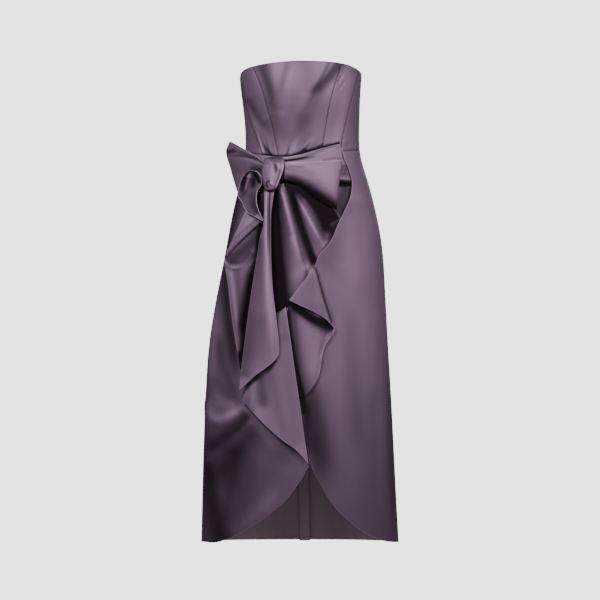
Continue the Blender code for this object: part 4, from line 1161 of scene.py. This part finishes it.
class GOWN_OT_skirt(Operator):
    """Hang the two backs and the two wrapping fronts of the skirt"""

    bl_idname = "gown.skirt"
    bl_label = "Skirt"

    def execute(self, context):
        sizes = context.scene.gown_sizes
        for panel in SKIRT_BACKS:
            top, foot = level(WAIST_SEAM, WAIST_GAP), fixed(BACK_HEM)
            points = tube_points(panel, top, foot, SKIRT_STEPS, SKIRT_LENGTH)
            cloth(panel.name, points, panel.tones, ("right", "left", "top"), sizes)
        for front in SKIRT_FRONTS:
            points = front_points(front.seam_angle, front.edge, front.hem, front.folds, front.columns)
            side = "left" if front.seam_angle > 0 else "right"
            cloth(front.name, points, front.tones, (side, "top"), sizes, hem=HEM_PAINTED_SHADE)
        cloth(
            "skirt_back_seam_strip", strip_points(), (), ("right", "left"), sizes,
            rim=0, material_names=("seam_allowance", "seam_allowance"),
        )
        return {"FINISHED"}


class GOWN_OT_bow(Operator):
    """Tie the sash, the loops, the turned-over loop and the knot"""

    bl_idname = "gown.bow"
    bl_label = "Bow"

    def execute(self, context):
        sizes = context.scene.gown_sizes
        sheet_cloth(SASH, laid_points(SASH), sizes)
        for loop in LOOPS:
            cloth(loop.name, loop_points(loop), loop.tones, (), sizes)
        sheet_cloth(CURL, hung_points(CURL), sizes, rim=CURL_EDGE_PAINTED_HIGHLIGHT)
        sheet_cloth(KNOT, hung_points(KNOT), sizes, rim=0)
        return {"FINISHED"}


class GOWN_OT_drapes(Operator):
    """Hang the fan, the long point, the flap and the flounce"""

    bl_idname = "gown.drapes"
    bl_label = "Drapes"

    def execute(self, context):
        for sheet in DRAPES:
            sheet_cloth(sheet, laid_points(sheet), context.scene.gown_sizes, seams=("top",))
        return {"FINISHED"}


class GOWN_OT_tails(Operator):
    """Hang the two ends of the bow"""

    bl_idname = "gown.tails"
    bl_label = "Bow ends"

    def execute(self, context):
        for sheet in TAILS:
            sheet_cloth(sheet, hung_points(sheet), context.scene.gown_sizes, seams=("top",))
        return {"FINISHED"}


def soft_light(name, place, size, power):
    """A square soft light aimed at the gown."""
    lamp = bpy.data.lights.new(name, "AREA")
    lamp.size = size
    lamp.energy = power
    light = bpy.data.objects.new(name, lamp)
    light.location = place
    light.rotation_euler = (LIGHT_TARGET - Vector(place)).to_track_quat("-Z", "Y").to_euler()
    bpy.context.scene.collection.objects.link(light)


class GOWN_OT_stage(Operator):
    """Set the pale floor, the soft lights and the camera"""

    bl_idname = "gown.stage"
    bl_label = "Stage"

    def execute(self, context):
        stage = context.scene.gown_stage
        bpy.ops.object.select_all(action="DESELECT")
        bpy.ops.mesh.primitive_cylinder_add(
            vertices=FLOOR_SIDES, radius=stage.floor_radius, depth=FLOOR_THICKNESS,
            location=(0, 0, -stage.floor_drop - FLOOR_THICKNESS / 2),
        )
        floor = context.active_object
        floor.name = "floor"
        bpy.ops.object.transform_apply(location=True, rotation=True, scale=True)
        pale = bpy.data.materials.new("floor_pale")
        pale.use_nodes = True
        feed(pale.node_tree, pale.node_tree.nodes["Principled BSDF"], FLOOR_LOOK)
        floor.data.materials.append(pale)

        world = bpy.data.worlds.new("studio")
        context.scene.world = world
        world.use_nodes = True
        tree = world.node_tree
        backdrop = tree.nodes["Background"]
        feed(tree, backdrop, BACKDROP)
        room = new_node(tree, "ShaderNodeBackground", ROOM)
        seen = new_node(tree, "ShaderNodeLightPath").outputs["Is Camera Ray"]
        parts = {"Fac": seen, 1: room.outputs["Background"], 2: backdrop.outputs["Background"]}
        mix = new_node(tree, "ShaderNodeMixShader", parts)
        feed(tree, tree.nodes["World Output"], {"Surface": mix.outputs["Shader"]})

        for light in LIGHTS:
            soft_light(*light)

        lens = bpy.data.cameras.new("camera")
        camera = bpy.data.objects.new("camera", lens)
        context.scene.collection.objects.link(camera)
        camera.location = (stage.aim_x, -stage.camera_distance, stage.aim_z)
        camera.rotation_euler = (math.radians(90), 0, 0)
        lens.lens = lens.sensor_width * stage.camera_distance / stage.frame_width
        lens.clip_end = CAMERA_REACH
        context.scene.camera = camera
        return {"FINISHED"}


class GOWN_PT_panel(Panel):
    """The pieces of the gown"""

    bl_idname = "GOWN_PT_panel"
    bl_label = "Gown"
    bl_space_type = "VIEW_3D"
    bl_region_type = "UI"
    bl_category = "Gown"

    def draw(self, context):
        for operator in OPERATORS:
            self.layout.operator(operator.bl_idname)
        for group in (context.scene.gown_sizes, context.scene.gown_finish, context.scene.gown_stage):
            for name in group.__annotations__:
                self.layout.prop(group, name)


GROUPS = {"gown_sizes": GownSizes, "gown_finish": GownFinish, "gown_stage": GownStage}
OPERATORS = (
    GOWN_OT_finish, GOWN_OT_bodice, GOWN_OT_skirt, GOWN_OT_bow, GOWN_OT_drapes, GOWN_OT_tails, GOWN_OT_stage,
)


def register():
    for group in (*GROUPS.values(), *OPERATORS, GOWN_PT_panel):
        bpy.utils.register_class(group)
    for name, group in GROUPS.items():
        setattr(bpy.types.Scene, name, PointerProperty(type=group))


def unregister():
    for name in GROUPS:
        delattr(bpy.types.Scene, name)
    for group in reversed((*GROUPS.values(), *OPERATORS, GOWN_PT_panel)):
        bpy.utils.unregister_class(group)


def main():
    """Makes the gown and its stage."""
    register()
    bpy.ops.gown.finish()
    bpy.ops.gown.bodice()
    bpy.ops.gown.skirt()
    bpy.ops.gown.bow()
    bpy.ops.gown.drapes()
    bpy.ops.gown.tails()
    bpy.ops.gown.stage()


if __name__ == "__main__":
    main()
